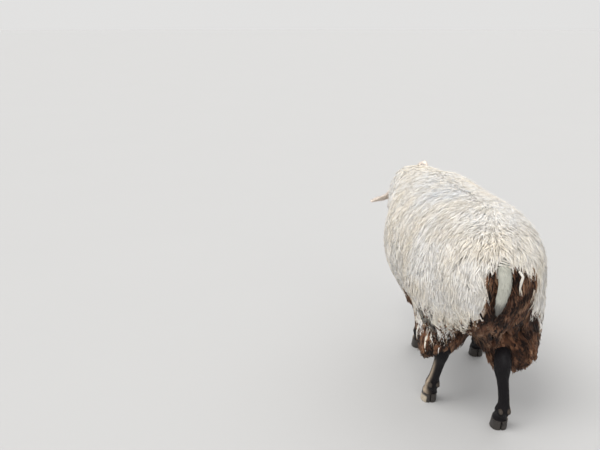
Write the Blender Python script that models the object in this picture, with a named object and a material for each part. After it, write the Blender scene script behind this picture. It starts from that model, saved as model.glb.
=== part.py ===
"""A Shetland sheep in full fleece, life size, standing with its head lowered as at a trough.

The sheep faces +X, its left side is +Y, and its hooves stand on the plane z = 0. Sizes are in metres.
The bare body is a set of smooth lofts. The fleece is a core over the skin and clumps and locks of wool that
grow from the core. The coat is made as one body and is then parted by thin cuts into torso, neck and
upper legs. Lower legs, tail, ears and eyes sit in sockets with a thin gap around them.
"""

import math

import bmesh
import bpy
import numpy as np
from mathutils import Matrix, Vector
from mathutils.bvhtree import BVHTree

# Gap that touching pieces keep, and where the whole stands so that its middle is on the origin
GAP = 0.0003
STANDS_AT = (0.0162, 0.0032, 0.0)

# Trunk and neck of the bare body: x, z of the ring's centre, its lean in degrees, half height, half width,
# and how far its middle is to the left
TRUNK = (
    (-0.462, 0.452, 0, 0.018, 0.018, -0.014),
    (-0.453, 0.450, 0, 0.055, 0.050, -0.014),
    (-0.430, 0.447, 0, 0.090, 0.079, -0.014),
    (-0.380, 0.445, 0, 0.114, 0.099, -0.013),
    (-0.300, 0.440, 0, 0.129, 0.110, -0.009),
    (-0.200, 0.432, 0, 0.136, 0.119, 0.001),
    (-0.080, 0.422, 0, 0.143, 0.129, 0.008),
    (0.030, 0.420, 4, 0.148, 0.122, 0.011),
    (0.100, 0.430, 12, 0.145, 0.106, 0.012),
    (0.160, 0.445, 22, 0.128, 0.087, 0.017),
    (0.215, 0.464, 18, 0.099, 0.070, 0.025),
    (0.280, 0.484, 8, 0.077, 0.058, 0.036),
    (0.340, 0.495, -8, 0.064, 0.051, 0.045),
    (0.385, 0.481, -26, 0.050, 0.044, 0.050),
)
COAT_GRID = (26, 26)
CORE_GRID = (15, 16)

# Depth of the fleece over the skin: along the back, on the flanks, under the belly, and at the head end
COAT_BACK = 0.036
COAT_FLANK = 0.050
COAT_BELLY = 0.040
COAT_NAPE = 0.026
NAPE_FROM_X = 0.20
NECK_FROM_X = 0.17
NAPE_TO_X = 0.39

# Share of the coat's depth that its solid core takes; beyond it are clumps and locks out to their tips
CORE_SHARE = 0.5

# Clumps and locks: distance between them, length, half width, half thickness, how far a tip hangs free
FLANK_CLUMP = (0.082, 0.138, 0.043, 0.021, 0.0)
NECK_CLUMP = (0.070, 0.112, 0.035, 0.016, 0.0)
HAM_LOCK = (0.066, 0.145, 0.029, 0.014, 0.6)
BELLY_LOCK = (0.076, 0.112, 0.034, 0.014, 0.5)
POLL_CLUMP = (0.048, 0.066, 0.023, 0.009, 0.0)
LENGTH_SPREAD = 0.15
TURN_SPREAD = math.radians(14)
TRIED_PLACES = 7000
WOOL_SEED = 20

# Where each kind grows: hams and legs below a height, belly where the skin faces down, poll along the head
HAM_BELOW_Z = 0.375
BELLY_FACES_DOWN = -0.45
BELLY_BELOW_Z = 0.25
LEG_END_BELOW_Z = 0.225
POLL_ALONG = (-0.01, 0.080)
TAIL_CLEAR = 0.026

# Lie of the wool, to the back, outwards and up, with what is added on top of the back and low on the legs
LIE = (-0.62, 0.15, -1.0)
LIE_ON_BACK = (0.0, 0.75, -0.2)
LIE_ON_LEGS = (0.35, 0.0, 0.0)
POLL_LIE = (1.0, 0.6, -0.35)

# A clump along its length: share, then half width and half thickness as shares of its own
CLUMP = ((0.00, 0.60, 0.90), (0.36, 1.00, 1.00), (0.76, 0.78, 0.66))
CLUMP_SIDES = 4
ROOT_DEPTH = 0.008
TIP_SINK = 0.001
HANGS_SOONER = 1.4
FOLLOWS_COAT = 0.75

# Share of the triangles that stays after a union; the slivers along its lines go first
COAT_KEEPS = 0.80
HEAD_KEEPS = 0.70

# Upper legs of the bare body: share of the way along the leg's line, half depth fore and aft, half width
HAM = ((0.00, 0.088, 0.050), (0.25, 0.098, 0.056), (0.50, 0.078, 0.053), (0.70, 0.050, 0.042),
       (0.86, 0.034, 0.029), (1.00, 0.028, 0.022))
FOREARM = ((0.00, 0.060, 0.034), (0.35, 0.044, 0.030), (0.70, 0.028, 0.022), (1.00, 0.022, 0.018))
UPPER_RINGS = 9
UPPER_SIDES = 12
COAT_HAM = 0.048
COAT_HOCK = 0.034
COAT_FOREARM = 0.030
COAT_KNEE = 0.014

# How much farther the wool of each ham reaches on its outer and on its inner side, at shares of the way down
HAM_REACH = {
    "hind_left": ((0.30, 0.000, 0.000), (0.50, -0.020, 0.000), (0.62, -0.028, 0.000), (0.75, -0.018, 0.000),
                  (0.88, -0.004, 0.000), (1.00, 0.010, 0.000)),
    "hind_right": ((0.30, 0.000, 0.000), (0.55, 0.010, -0.006), (0.80, 0.020, -0.014), (1.00, 0.020, -0.018)),
}

# Each leg: joints as x, y, z from the top down to the coronet, then the middle of the foot on the ground
LEGS = {
    "hind_left": ((-0.345, 0.056, 0.450), (-0.225, 0.086, 0.345), (-0.280, 0.068, 0.200),
                  (-0.220, 0.076, 0.072), (-0.196, 0.079, 0.033), (-0.182, 0.079, 0.0)),
    "hind_right": ((-0.345, -0.072, 0.450), (-0.270, -0.097, 0.335), (-0.402, -0.060, 0.198),
                   (-0.392, -0.073, 0.070), (-0.372, -0.072, 0.033), (-0.358, -0.072, 0.0)),
    "fore_left": ((0.075, 0.080, 0.400), (0.055, 0.080, 0.305), (0.120, 0.058, 0.190),
                  (0.188, 0.037, 0.070), (0.211, 0.033, 0.033), (0.225, 0.033, 0.0)),
    "fore_right": ((0.075, -0.060, 0.400), (0.050, -0.088, 0.305), (0.082, -0.112, 0.186),
                   (0.106, -0.132, 0.068), (0.128, -0.137, 0.033), (0.142, -0.137, 0.0)),
}

# Lower legs: share of the way from hock or knee to the coronet, half depth, half width, shift to the back
HOCK_TO_FOOT = ((-0.30, 0.020, 0.016, 0.000), (0.00, 0.027, 0.0205, 0.006), (0.12, 0.024, 0.0195, 0.004),
                (0.28, 0.0175, 0.0150, 0.001), (0.50, 0.0160, 0.0135, 0.000), (0.68, 0.0165, 0.0145, 0.000),
                (0.78, 0.0200, 0.0185, 0.001), (0.90, 0.0165, 0.0170, 0.000), (1.00, 0.0205, 0.0200, 0.000))
KNEE_TO_FOOT = ((-0.30, 0.020, 0.017, 0.000), (0.00, 0.0215, 0.0205, 0.000), (0.12, 0.0205, 0.0190, 0.000),
                (0.28, 0.0165, 0.0150, 0.000), (0.50, 0.0150, 0.0135, 0.000), (0.68, 0.0160, 0.0145, 0.000),
                (0.78, 0.0195, 0.0185, 0.001), (0.90, 0.0165, 0.0170, 0.000), (1.00, 0.0205, 0.0200, 0.000))
SHANK_RINGS = 14
SHANK_SIDES = 10
CORONET_SLOPE = math.radians(14)

# Claws, two to a foot: length and width on the ground and at the coronet, how much the worn edge of the sole
# takes off, and the space between the two; then the heights of a claw's sections and the corners of one
CLAW_SOLE = (0.054, 0.0205)
CLAW_TOP = (0.043, 0.0185)
CLAW_EDGE = (0.002, 0.001)
CLEFT = 0.0026
CLAW_LEVELS = (0.0, 0.16, 0.55, 1.0)
CLAW_CORNERS = 8
CLAW_INNER = (-0.28, 0.05, 0.34)
CLAW_END_WIDTH = 0.12

# Dewclaws: length, half thickness, root from the fetlock, way they point, and thickness along them
DEWCLAW_LENGTH = 0.015
DEWCLAW_RADIUS = 0.0058
DEWCLAW_ROOT = (-0.0120, 0.0095, -0.0010)
DEWCLAW_POINTS = (-0.66, 0.10, -0.74)
DEWCLAW = ((0.0, 1.0), (0.45, 1.0), (0.8, 0.72))

# Tail: places down its middle, and half width and half thickness at shares of its length
TAIL_LINE = ((-0.440, -0.016, 0.490), (-0.490, -0.022, 0.480), (-0.517, -0.021, 0.448),
             (-0.520, -0.015, 0.410), (-0.515, -0.009, 0.374))
TAIL_SIZE = ((0.0, 0.017, 0.013), (0.3, 0.0185, 0.0135), (0.7, 0.0165, 0.011), (0.9, 0.0105, 0.008),
             (1.0, 0.004, 0.004))
TAIL_RINGS = 9
TAIL_SIDES = 12

# Head: where its axis starts behind the poll and how far it points down; then its sections:
# distance along the axis, top, bottom, half width, how much narrower the top is, depth of wool
HEAD_AT = Vector((0.367, 0.050, 0.491))
HEAD_PITCH = math.radians(54)
HEAD_YAW = math.radians(9)
HEAD_ROLL = math.radians(-19)
HEAD = (
    (-0.012, 0.018, 0.030, 0.022, 0.10, 0.016),
    (0.000, 0.031, 0.047, 0.037, 0.10, 0.016),
    (0.030, 0.042, 0.058, 0.047, 0.08, 0.015),
    (0.060, 0.046, 0.063, 0.051, 0.06, 0.009),
    (0.085, 0.043, 0.060, 0.049, 0.08, 0.004),
    (0.110, 0.037, 0.051, 0.041, 0.18, 0.001),
    (0.140, 0.031, 0.038, 0.032, 0.24, 0.000),
    (0.170, 0.026, 0.030, 0.027, 0.20, 0.000),
    (0.192, 0.022, 0.028, 0.0265, 0.10, 0.000),
    (0.204, 0.016, 0.025, 0.0235, 0.05, 0.000),
    (0.213, 0.005, 0.016, 0.013, 0.00, 0.000),
)
HEAD_RINGS = 16
HEAD_SIDES = 18

# Eyes: place of the ball along the head, out to the side and up, its radius, the lids and their opening
EYE_PLACE = (0.082, 0.0395, 0.016)
EYE_RADIUS = 0.0125
LID_RADII = (0.0172, 0.0150, 0.0150)
LID_OPENING = (0.0105, 0.0062)
EYE_LOOKS = (0.28, 0.93, 0.22)
EYE_TILT = math.radians(12)
BALL_GRID = (12, 7)

# Mouth line: distance along the head and angle down the side of the section; groove depth and half height
MOUTH = ((0.158, -40), (0.172, -37), (0.185, -33), (0.197, -28), (0.2065, -24), (0.2115, -30))
MOUTH_FRONT = (0.2150, -0.0085)
GROOVE_DEPTH = 0.0028
GROOVE_HALF = 0.0009
NOSTRIL = (0.2085, 0.0128, 0.0050)
NOSTRIL_RADII = (0.0026, 0.0066, 0.0085)
NOSTRIL_GRID = (10, 6)

# Ears: root in the head's own frame, length, how deep the stem is sunk and how far the tip sags, which way
# they point and open, thickness of the cup and the room around it in the neck's wool; then an outline:
# share of the length, half width, depth of the back's curve, how far the inside is hollowed
EAR_ROOT = (0.020, 0.041, 0.028)
EAR_LENGTH = 0.118
EAR_SUNK = 0.016
EAR_SAG = 0.012
EAR_POINTS = {1: (-0.19, 0.98, -0.06), -1: (-0.42, 0.72, 0.55)}
EAR_OPENS = {1: (-0.62, 0.10, 0.78), -1: (-0.90, -0.40, -0.17)}
EAR_WALL = 0.0030
EAR_CLEAR = 0.0010
EAR_POCKET = 1.08
EAR_POCKET_SIDES = 12
EAR = ((0.00, 0.0085, 0.0085, 0.0), (0.26, 0.0115, 0.0095, 0.0), (0.40, 0.0200, 0.0135, 0.75),
       (0.52, 0.0235, 0.0135, 1.0), (0.66, 0.0222, 0.0110, 1.0), (0.82, 0.0155, 0.0070, 1.0),
       (0.94, 0.0075, 0.0030, 1.0), (1.00, 0.0022, 0.0018, 0.9))
EAR_RINGS = 9
EAR_ACROSS = 3

# Cuts that part the coat: a point on the plane and its normal; then the spaces of the upper legs,
# as x from and to, height at the back edge, rise of the cut towards the front and y of the plane between them
NECK_CUT = ((0.190, 0.0, 0.450), (0.90, 0.0, 0.42))
HEAD_CUT = ((0.374, 0.050, 0.482), (0.72, 0.12, -0.68))
HIND_SPACE = (-0.70, -0.115, 0.365, -0.02, -0.012)
FORE_SPACE = (-0.045, 0.172, 0.300, 0.0, 0.003)

FLEECE = (0.80, 0.74, 0.62)
BRITCH = (0.62, 0.50, 0.38)
DARK_WOOL = (0.060, 0.045, 0.038)
FACE = (0.36, 0.30, 0.25)
EAR_SKIN = (0.30, 0.24, 0.20)
HORN = (0.11, 0.095, 0.085)
EYE_AMBER = (0.25, 0.13, 0.04)


def smooth_rows(rows, places):
    """The rows of a table, keyed by their first column, on smooth curves through them at other keys."""
    table = np.array(rows, float)
    keys = table[:, 0]
    gaps = np.diff(keys)
    slopes = np.diff(table, axis=0) / gaps[:, None]
    tangents = np.vstack([slopes[:1], (slopes[1:] + slopes[:-1]) / 2, slopes[-1:]])
    tangents[1:-1][slopes[1:] * slopes[:-1] <= 0] = 0
    index = np.clip(np.searchsorted(keys, places, side="right") - 1, 0, len(keys) - 2)
    step = gaps[index][:, None]
    t = ((np.asarray(places) - keys[index]) / gaps[index])[:, None]
    return (table[index] * (2 * t**3 - 3 * t**2 + 1) + table[index + 1] * (3 * t**2 - 2 * t**3)
            + tangents[index] * step * (t**3 - 2 * t**2 + t) + tangents[index + 1] * step * (t**3 - t**2))


def run_lengths(points):
    """How far along a line each of its points is."""
    steps = np.linalg.norm(np.diff(np.array(points, float), axis=0), axis=1)
    return np.concatenate([[0], np.cumsum(steps)])


def smooth_line(points, shares):
    """Places at shares of the way along a smooth line through some points."""
    lengths = run_lengths(points)
    rows = np.column_stack([lengths / lengths[-1], np.array(points, float)])
    return smooth_rows(rows, shares)[:, 1:]


def oval(centre, side, up, half_width, half_height, count):
    """Points around an oval whose half axes lie along side and up."""
    angles = np.arange(count) * 2 * math.pi / count
    across = np.cos(angles) * half_width
    along = np.sin(angles) * half_height
    return np.asarray(centre) + across[:, None] * np.asarray(side) + along[:, None] * np.asarray(up)


def object_from(name, points, faces):
    """An object of its own from points and faces."""
    mesh = bpy.data.meshes.new(name)
    mesh.from_pydata([tuple(p) for p in points], [], faces)
    mesh.update()
    made = bpy.data.objects.new(name, mesh)
    bpy.context.scene.collection.objects.link(made)
    return made


def face_out(made):
    """All faces of a closed body look outwards."""
    cage = bmesh.new()
    cage.from_mesh(made.data)
    bmesh.ops.recalc_face_normals(cage, faces=cage.faces)
    if cage.calc_volume(signed=True) < 0:
        bmesh.ops.reverse_faces(cage, faces=cage.faces)
    cage.to_mesh(made.data)
    cage.free()


def loft(name, rings, first=None, last=None):
    """A closed body through rings with as many points each; its ends are fans around a middle point."""
    count = len(rings[0])
    points = [p for ring in rings for p in ring]
    faces = []
    for r in range(len(rings) - 1):
        for k in range(count):
            a, b = r * count + k, r * count + (k + 1) % count
            faces += [(a, b, b + count), (a, b + count, a + count)]
    start, end = len(points), len(points) + 1
    points.append(np.mean(rings[0], axis=0) if first is None else first)
    points.append(np.mean(rings[-1], axis=0) if last is None else last)
    tail = (len(rings) - 1) * count
    for k in range(count):
        faces.append((start, (k + 1) % count, k))
        faces.append((end, tail + k, tail + (k + 1) % count))
    made = object_from(name, points, faces)
    face_out(made)
    return made


def ellipsoid(name, centre, axes, sides, rows):
    """A rounded body with three half axes; its poles lie on the last of them."""
    a, b, c = (np.array(axis) for axis in axes)
    centre = np.array(centre)
    rings = []
    for r in range(1, rows):
        turn = math.pi * r / rows
        angles = np.arange(sides) * 2 * math.pi / sides
        ring = np.cos(angles)[:, None] * a + np.sin(angles)[:, None] * b
        rings.append(centre + ring * math.sin(turn) + c * math.cos(turn))
    return loft(name, rings, centre + c, centre - c)


def block(name, corners):
    """A body with eight corners, listed as for a box: x, then y, then z rising fastest."""
    made = object_from(name, corners,
                       [(0, 1, 3, 2), (4, 6, 7, 5), (0, 4, 5, 1), (2, 3, 7, 6), (0, 2, 6, 4), (1, 5, 7, 3)])
    face_out(made)
    return made


def half_space(name, point, normal, back=0.0):
    """A big block on the side of a plane that its normal points to, moved back by a length."""
    axis = Vector(normal).normalized()
    corners = [Vector((x, y, z)) for x in (-1, 1) for y in (-1, 1) for z in (0, 1)]
    turn = axis.to_track_quat("Z", "Y").to_matrix().to_4x4()
    place = Matrix.Translation(Vector(point) - axis * back) @ turn
    return block(name, [place @ corner for corner in corners])


def paint(made, colour, roughness):
    """Its own material, of the colour that the piece has in life."""
    material = bpy.data.materials.new(made.name)
    material.use_nodes = True
    shader = material.node_tree.nodes["Principled BSDF"]
    shader.inputs["Base Color"].default_value = (*colour, 1.0)
    shader.inputs["Roughness"].default_value = roughness
    shader.inputs["Metallic"].default_value = 0.0
    material.diffuse_color = (*colour, 1.0)
    made.data.materials.clear()
    made.data.materials.append(material)
    for face in made.data.polygons:
        face.material_index = 0
    made.data.shade_smooth()
    made.data.set_sharp_from_angle(angle=math.radians(50))


def apply_modifiers(made):
    """The evaluated shape becomes the mesh, in triangles."""
    graph = bpy.context.evaluated_depsgraph_get()
    mesh = bpy.data.meshes.new_from_object(made.evaluated_get(graph))
    made.modifiers.clear()
    old = made.data
    made.data = mesh
    bpy.data.meshes.remove(old)
    cage = bmesh.new()
    cage.from_mesh(mesh)
    bmesh.ops.triangulate(cage, faces=cage.faces)
    cage.to_mesh(mesh)
    cage.free()


def combine(made, others, operation, solver="MANIFOLD"):
    """One Boolean of a body with a collection of others, which are then removed."""
    group = bpy.data.collections.new(made.name + "_with")
    bpy.context.scene.collection.children.link(group)
    for other in others:
        bpy.context.scene.collection.objects.unlink(other)
        group.objects.link(other)
        other.hide_render = True
        other.display_type = "WIRE"
    boolean = made.modifiers.new(operation.lower(), "BOOLEAN")
    boolean.operation = operation
    boolean.operand_type = "COLLECTION"
    boolean.collection = group
    boolean.solver = solver
    bpy.context.view_layer.update()
    apply_modifiers(made)
    for other in list(group.objects):
        bpy.data.objects.remove(other)
    bpy.data.collections.remove(group)
    return made


def thin_out(made, share):
    """Drops the sliver triangles that a union leaves along the lines where its pieces cross."""
    decimate = made.modifiers.new("thin_out", "DECIMATE")
    decimate.ratio = share
    apply_modifiers(made)
    return made


def keep_largest(made):
    """Only the largest closed surface of a body stays."""
    cage = bmesh.new()
    cage.from_mesh(made.data)
    left = set(cage.verts)
    shells = []
    while left:
        start = next(iter(left))
        left.discard(start)
        shell, edge = [start], [start]
        while edge:
            for link in edge.pop().link_edges:
                for other in link.verts:
                    if other in left:
                        left.discard(other)
                        edge.append(other)
                        shell.append(other)
        shells.append(shell)
    shells.sort(key=len, reverse=True)
    bmesh.ops.delete(cage, geom=[v for shell in shells[1:] for v in shell], context="VERTS")
    cage.to_mesh(made.data)
    cage.free()
    return made


def copy_of(made, name):
    """Another object of the same shape."""
    twin = bpy.data.objects.new(name, made.data.copy())
    bpy.context.scene.collection.objects.link(twin)
    return twin


def coat_depth(x, upness):
    """How deep the fleece of trunk and neck is where the skin faces up by upness, from -1 to 1."""
    up = max(upness, 0) ** 2
    down = max(-upness, 0) ** 2
    depth = COAT_FLANK + (COAT_BACK - COAT_FLANK) * up + (COAT_BELLY - COAT_FLANK) * down
    to_head = min(max((x - NAPE_FROM_X) / (NAPE_TO_X - NAPE_FROM_X), 0), 1)
    return depth + (COAT_NAPE - depth) * to_head


def trunk(name, share, grid):
    """Trunk and neck out to a share of the depth of their fleece."""
    count, sides = grid
    turn = np.linspace(0, math.pi, count)
    places = TRUNK[0][0] + (TRUNK[-1][0] - TRUNK[0][0]) * (0.5 - 0.5 * np.cos(turn))
    rings = []
    for x, z, lean, height, width, left in smooth_rows(TRUNK, places):
        tilt = math.radians(lean)
        up = (-math.sin(tilt), 0, math.cos(tilt))
        rings.append(oval((x, left, z), (0, 1, 0), up, width, height, sides))
    body = loft(name, rings)
    mesh = body.data
    moves = [v.normal * share * coat_depth(v.co.x, v.normal.z) for v in mesh.vertices]
    for vertex, move in zip(mesh.vertices, moves):
        vertex.co += move
    mesh.update()
    return body


def frames_along(line):
    """Side and fore directions for rings that stand square to a line that runs mostly down."""
    steps = np.gradient(line, axis=0)
    tangents = steps / np.linalg.norm(steps, axis=1)[:, None]
    fore = np.cross(tangents, (0, 1, 0))
    fore = fore / np.linalg.norm(fore, axis=1)[:, None]
    side = np.cross(fore, tangents)
    return side, fore


def ham_reach(leg, place, share):
    """How far the wool reaches beyond its even depth on the outer and the inner side of a leg."""
    if leg not in HAM_REACH or share == 0:
        return 0.0, 0.0
    places, outer, inner = np.array(HAM_REACH[leg]).T
    return share * np.interp(place, places, outer), share * np.interp(place, places, inner)


def upper_leg(leg, share):
    """The ham or the forearm of a leg, out to a share of the depth of its wool."""
    hind = leg.startswith("hind")
    shares = np.linspace(0, 1, UPPER_RINGS)
    line = smooth_line(LEGS[leg][:3], shares)
    sizes = smooth_rows(HAM if hind else FOREARM, shares)
    side, fore = frames_along(line)
    top, low = (COAT_HAM, COAT_HOCK) if hind else (COAT_FOREARM, COAT_KNEE)
    outward = 1 if leg.endswith("left") else -1
    rings = []
    for k, at in enumerate(line):
        coat = share * (top + (low - top) * shares[k])
        outer, inner = ham_reach(leg, shares[k], share)
        middle = at + side[k] * outward * (outer - inner) / 2
        half_width = sizes[k, 2] + coat + (outer + inner) / 2
        rings.append(oval(middle, side[k], fore[k], half_width, sizes[k, 1] + coat, UPPER_SIDES))
    return loft(leg + "_upper", rings)


def shank(leg, grow=0.0):
    """A lower leg with its dewclaws, made thicker by grow."""
    rows = HOCK_TO_FOOT if leg.startswith("hind") else KNEE_TO_FOOT
    upper, joint, fetlock, coronet = (Vector(p) for p in LEGS[leg][1:5])
    points = [joint + (upper - joint) * 0.28, joint, fetlock, coronet]
    lengths = run_lengths(points)
    keyed = np.column_stack([(lengths - lengths[1]) / (lengths[-1] - lengths[1]), np.array(points)])
    shares = np.linspace(keyed[0, 0], 1, SHANK_RINGS)
    line = smooth_rows(keyed, shares)[:, 1:]
    sizes = smooth_rows(rows, shares)
    side, fore = frames_along(line)
    fore[-1] = (math.cos(CORONET_SLOPE), 0, math.sin(CORONET_SLOPE))
    side[-1] = (0, 1, 0)
    rings = []
    for k, at in enumerate(line):
        centre = at - fore[k] * sizes[k, 3]
        rings.append(oval(centre, side[k], fore[k], sizes[k, 2] + grow, sizes[k, 1] + grow, SHANK_SIDES))
    if grow:
        rings[0] = rings[0] + (line[0] - line[1]) / np.linalg.norm(line[0] - line[1]) * grow
    made = loft(leg + "_shank", rings)
    if grow:
        return made
    return combine(made, [dewclaw(leg, way) for way in (-1, 1)], "UNION", "EXACT")


def dewclaw(leg, way):
    """One of the two small claws behind a fetlock, pointing down and back."""
    root = Vector(LEGS[leg][3]) + Vector(DEWCLAW_ROOT) * Vector((1, way, 1))
    points = (Vector(DEWCLAW_POINTS) * Vector((1, way, 1))).normalized()
    across = points.cross(Vector((0, 1, 0))).normalized()
    other = points.cross(across)
    rings = []
    for share, size in DEWCLAW:
        centre = root + points * DEWCLAW_LENGTH * share
        rings.append(oval(centre, across, other, DEWCLAW_RADIUS * size * 0.8, DEWCLAW_RADIUS * size, 6))
    return loft(leg + "_dewclaw", rings, last=root + points * DEWCLAW_LENGTH * 0.95)


def claw(name, leg, way):
    """One half of a hoof: flat sole, sloping wall, straight inner side towards the cleft."""
    coronet, foot = Vector(LEGS[leg][4]), Vector(LEGS[leg][5])
    turns = np.linspace(0, math.pi, CLAW_CORNERS)
    rings = []
    for share in CLAW_LEVELS:
        length = CLAW_SOLE[0] + (CLAW_TOP[0] - CLAW_SOLE[0]) * share
        width = CLAW_SOLE[1] + (CLAW_TOP[1] - CLAW_SOLE[1]) * share
        if share == 0:
            length, width = length - CLAW_EDGE[0], width - CLAW_EDGE[1]
        slope, lower = (math.tan(CORONET_SLOPE), GAP) if share == 1 else (0.0, 0.0)
        bulge = CLAW_END_WIDTH + (1 - CLAW_END_WIDTH) * np.sin(turns).clip(0) ** 0.8
        outline = list(zip(np.cos(turns) * length / 2, width * bulge))
        outline += [(x * length, 0.0) for x in CLAW_INNER]
        middle = foot.lerp(coronet, share)
        rings.append([(middle.x + x, middle.y + way * (CLEFT / 2 + y), middle.z + x * slope - lower)
                      for x, y in outline])
    return loft(name, rings)


def tail(grow=0.0):
    """The short tail, made thicker by grow."""
    shares = np.linspace(0, 1, TAIL_RINGS)
    line = smooth_line(TAIL_LINE, shares)
    sizes = smooth_rows(TAIL_SIZE, shares)
    side, fore = frames_along(line)
    rings = [oval(at, side[k], fore[k], sizes[k, 1] + grow, sizes[k, 2] + grow, TAIL_SIDES)
             for k, at in enumerate(line)]
    if grow:
        rings[0] = rings[0] + (line[0] - line[1]) / np.linalg.norm(line[0] - line[1]) * grow
    return loft("tail", rings)


def head_axes():
    """Directions of the head's own frame: along it to the muzzle, to its left side, and up from it."""
    turn = (Matrix.Rotation(HEAD_YAW, 3, "Z") @ Matrix.Rotation(HEAD_PITCH, 3, "Y")
            @ Matrix.Rotation(HEAD_ROLL, 3, "X"))
    return turn.col[0].copy(), turn.col[1].copy(), turn.col[2].copy()


def in_head(along, out, up, side=1):
    """A place given in the head's own frame; side is 1 on its left and -1 on its right."""
    a, s, u = head_axes()
    return HEAD_AT + a * along + s * out * side + u * up


def head_way(along, out, up, side=1):
    """A direction given in the head's own frame."""
    a, s, u = head_axes()
    return (a * along + s * out * side + u * up).normalized()


def head_point(place, angle, share=0.0, lift=0.0):
    """A point on the head's section at a distance along it and an angle up from the side."""
    _, top, bottom, half, pinch, coat = smooth_rows(HEAD, [place])[0]
    grow = coat * share + lift
    out = (half * (1 - pinch * math.sin(angle)) + grow) * math.cos(angle)
    up = ((top if math.sin(angle) > 0 else bottom) + grow) * math.sin(angle)
    return in_head(place, out, up)


def head_shape(share):
    """The head out to a share of the depth of its wool."""
    places = np.linspace(HEAD[0][0], HEAD[-1][0], HEAD_RINGS)
    angles = np.arange(HEAD_SIDES) * 2 * math.pi / HEAD_SIDES
    rings = [[head_point(place, angle, share) for angle in angles] for place in places]
    return loft("head", rings)


def eye_axes(side):
    """Which way an eye looks, the length of its slit and the height of its opening."""
    looks = head_way(*EYE_LOOKS, side)
    along, _, _ = head_axes()
    slit = (along - looks * along.dot(looks)).normalized()
    slit.rotate(Matrix.Rotation(-side * EYE_TILT, 3, looks))
    return looks, slit, looks.cross(slit)


def eyeball(name, side, radius):
    """An eye, or with a larger radius the socket that it sits in."""
    looks, slit, rise = eye_axes(side)
    axes = [slit * radius, rise * radius, looks * radius]
    return ellipsoid(name, in_head(*EYE_PLACE, side), axes, *BALL_GRID)


def lids(side):
    """The raised lids around an eye, still closed."""
    looks, slit, rise = eye_axes(side)
    axes = [slit * LID_RADII[0], rise * LID_RADII[1], looks * LID_RADII[2]]
    return ellipsoid("lids", in_head(*EYE_PLACE, side), axes, *BALL_GRID)


def eye_slit(side):
    """The almond opening between the lids, as a cutter that widens outwards."""
    looks, slit, rise = eye_axes(side)
    centre = in_head(*EYE_PLACE, side)
    rings = []
    for away, wide in ((0.30, 0.80), (1.60, 1.20)):
        ring = []
        for k in range(12):
            angle = 2 * math.pi * k / 12
            x = math.cos(angle) * LID_OPENING[0] * wide
            y = math.sin(angle) * abs(math.sin(angle)) ** 0.3 * LID_OPENING[1] * wide
            ring.append(centre + looks * EYE_RADIUS * away + slit * x + rise * y)
        rings.append(ring)
    return loft("eye_slit", rings)


def sweep_groove(name, path, outs, rises):
    """A cutter along a path on a surface, sharp on its inner edge."""
    rings = []
    for k, at in enumerate(path):
        thin = 0.5 if k in (0, len(path) - 1) else 1.0
        out, rise = outs[k] * thin, rises[k] * GROOVE_HALF * thin
        rings.append([at - out * GROOVE_DEPTH, at + rise, at + rise + out * GROOVE_DEPTH * 2,
                      at - rise + out * GROOVE_DEPTH * 2, at - rise])
    return loft(name, rings)


def mouth_groove():
    """The line between the lips, from one corner around the muzzle to the other."""
    path, outs, rises = [], [], []
    _, _, up = head_axes()
    sides = [(s, place, angle) for s, row in ((1, MOUTH), (-1, MOUTH[::-1])) for place, angle in row]
    for side, place, angle in sides:
        slope = math.radians(angle)
        at = head_point(place, slope if side > 0 else math.pi - slope)
        forward = max(0.0, (place - 0.19) / 0.025)
        path.append(at)
        outs.append(head_way(forward, 1.0 - 0.4 * forward, 0, side))
        rises.append(up)
    middle = len(MOUTH)
    path.insert(middle, in_head(MOUTH_FRONT[0], 0, MOUTH_FRONT[1]))
    outs.insert(middle, head_axes()[0])
    rises.insert(middle, up)
    return sweep_groove("mouth", path, outs, rises)


def nostril(side):
    """The hollow of a nostril, slanting up and out."""
    centre = in_head(*NOSTRIL, side)
    deep = head_way(-0.62, -0.62, 0.05, side)
    long = head_way(-0.38, 0.50, 0.78, side)
    long = (long - deep * long.dot(deep)).normalized()
    wide = deep.cross(long)
    a, b, c = NOSTRIL_RADII
    return ellipsoid("nostril", centre, [wide * a, long * b, deep * c], *NOSTRIL_GRID)


def ear_frame(side):
    """Root of an ear, which way it points and opens, and the direction across it."""
    points = head_way(*EAR_POINTS[side], side)
    opens = head_way(*EAR_OPENS[side], side)
    opens = (opens - points * opens.dot(points)).normalized()
    return in_head(*EAR_ROOT, side), points, opens, points.cross(opens)


def ear_sections(side):
    """Along an ear: the middle of a section, its half width, depth of its back and hollow of its front."""
    root, points, opens, _ = ear_frame(side)
    sections = []
    for share, half, curve, hollow in smooth_rows(EAR, np.linspace(0, 1, EAR_RINGS)):
        centre = root + points * (EAR_LENGTH * share - EAR_SUNK) - opens * EAR_SAG * share**2
        sections.append((centre, half, curve, hollow))
    return sections


def ear(name, side, grow=0.0):
    """A cupped ear on a solid stem that sits in the head, made thicker by grow."""
    _, points, opens, across = ear_frame(side)
    steps = [u / EAR_ACROSS for u in range(-EAR_ACROSS, EAR_ACROSS + 1)]
    rings = []
    for centre, half, curve, hollow in ear_sections(side):
        ring = []
        for u in steps:
            back = curve * (1 - u * u) + grow * (1 - u**4)
            ring.append(centre + across * (half + 2 * grow) * u - opens * back)
        for u in reversed(steps[1:-1]):
            full = curve * (1 - u * u)
            cupped = EAR_WALL * (1 - 0.5 * u * u) - full
            ring.append(centre + across * half * u + opens * (full + (cupped - full) * hollow + grow))
        rings.append(ring)
    if grow:
        rings[0] = [p - points * grow for p in rings[0]]
    return loft(name, rings)


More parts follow.
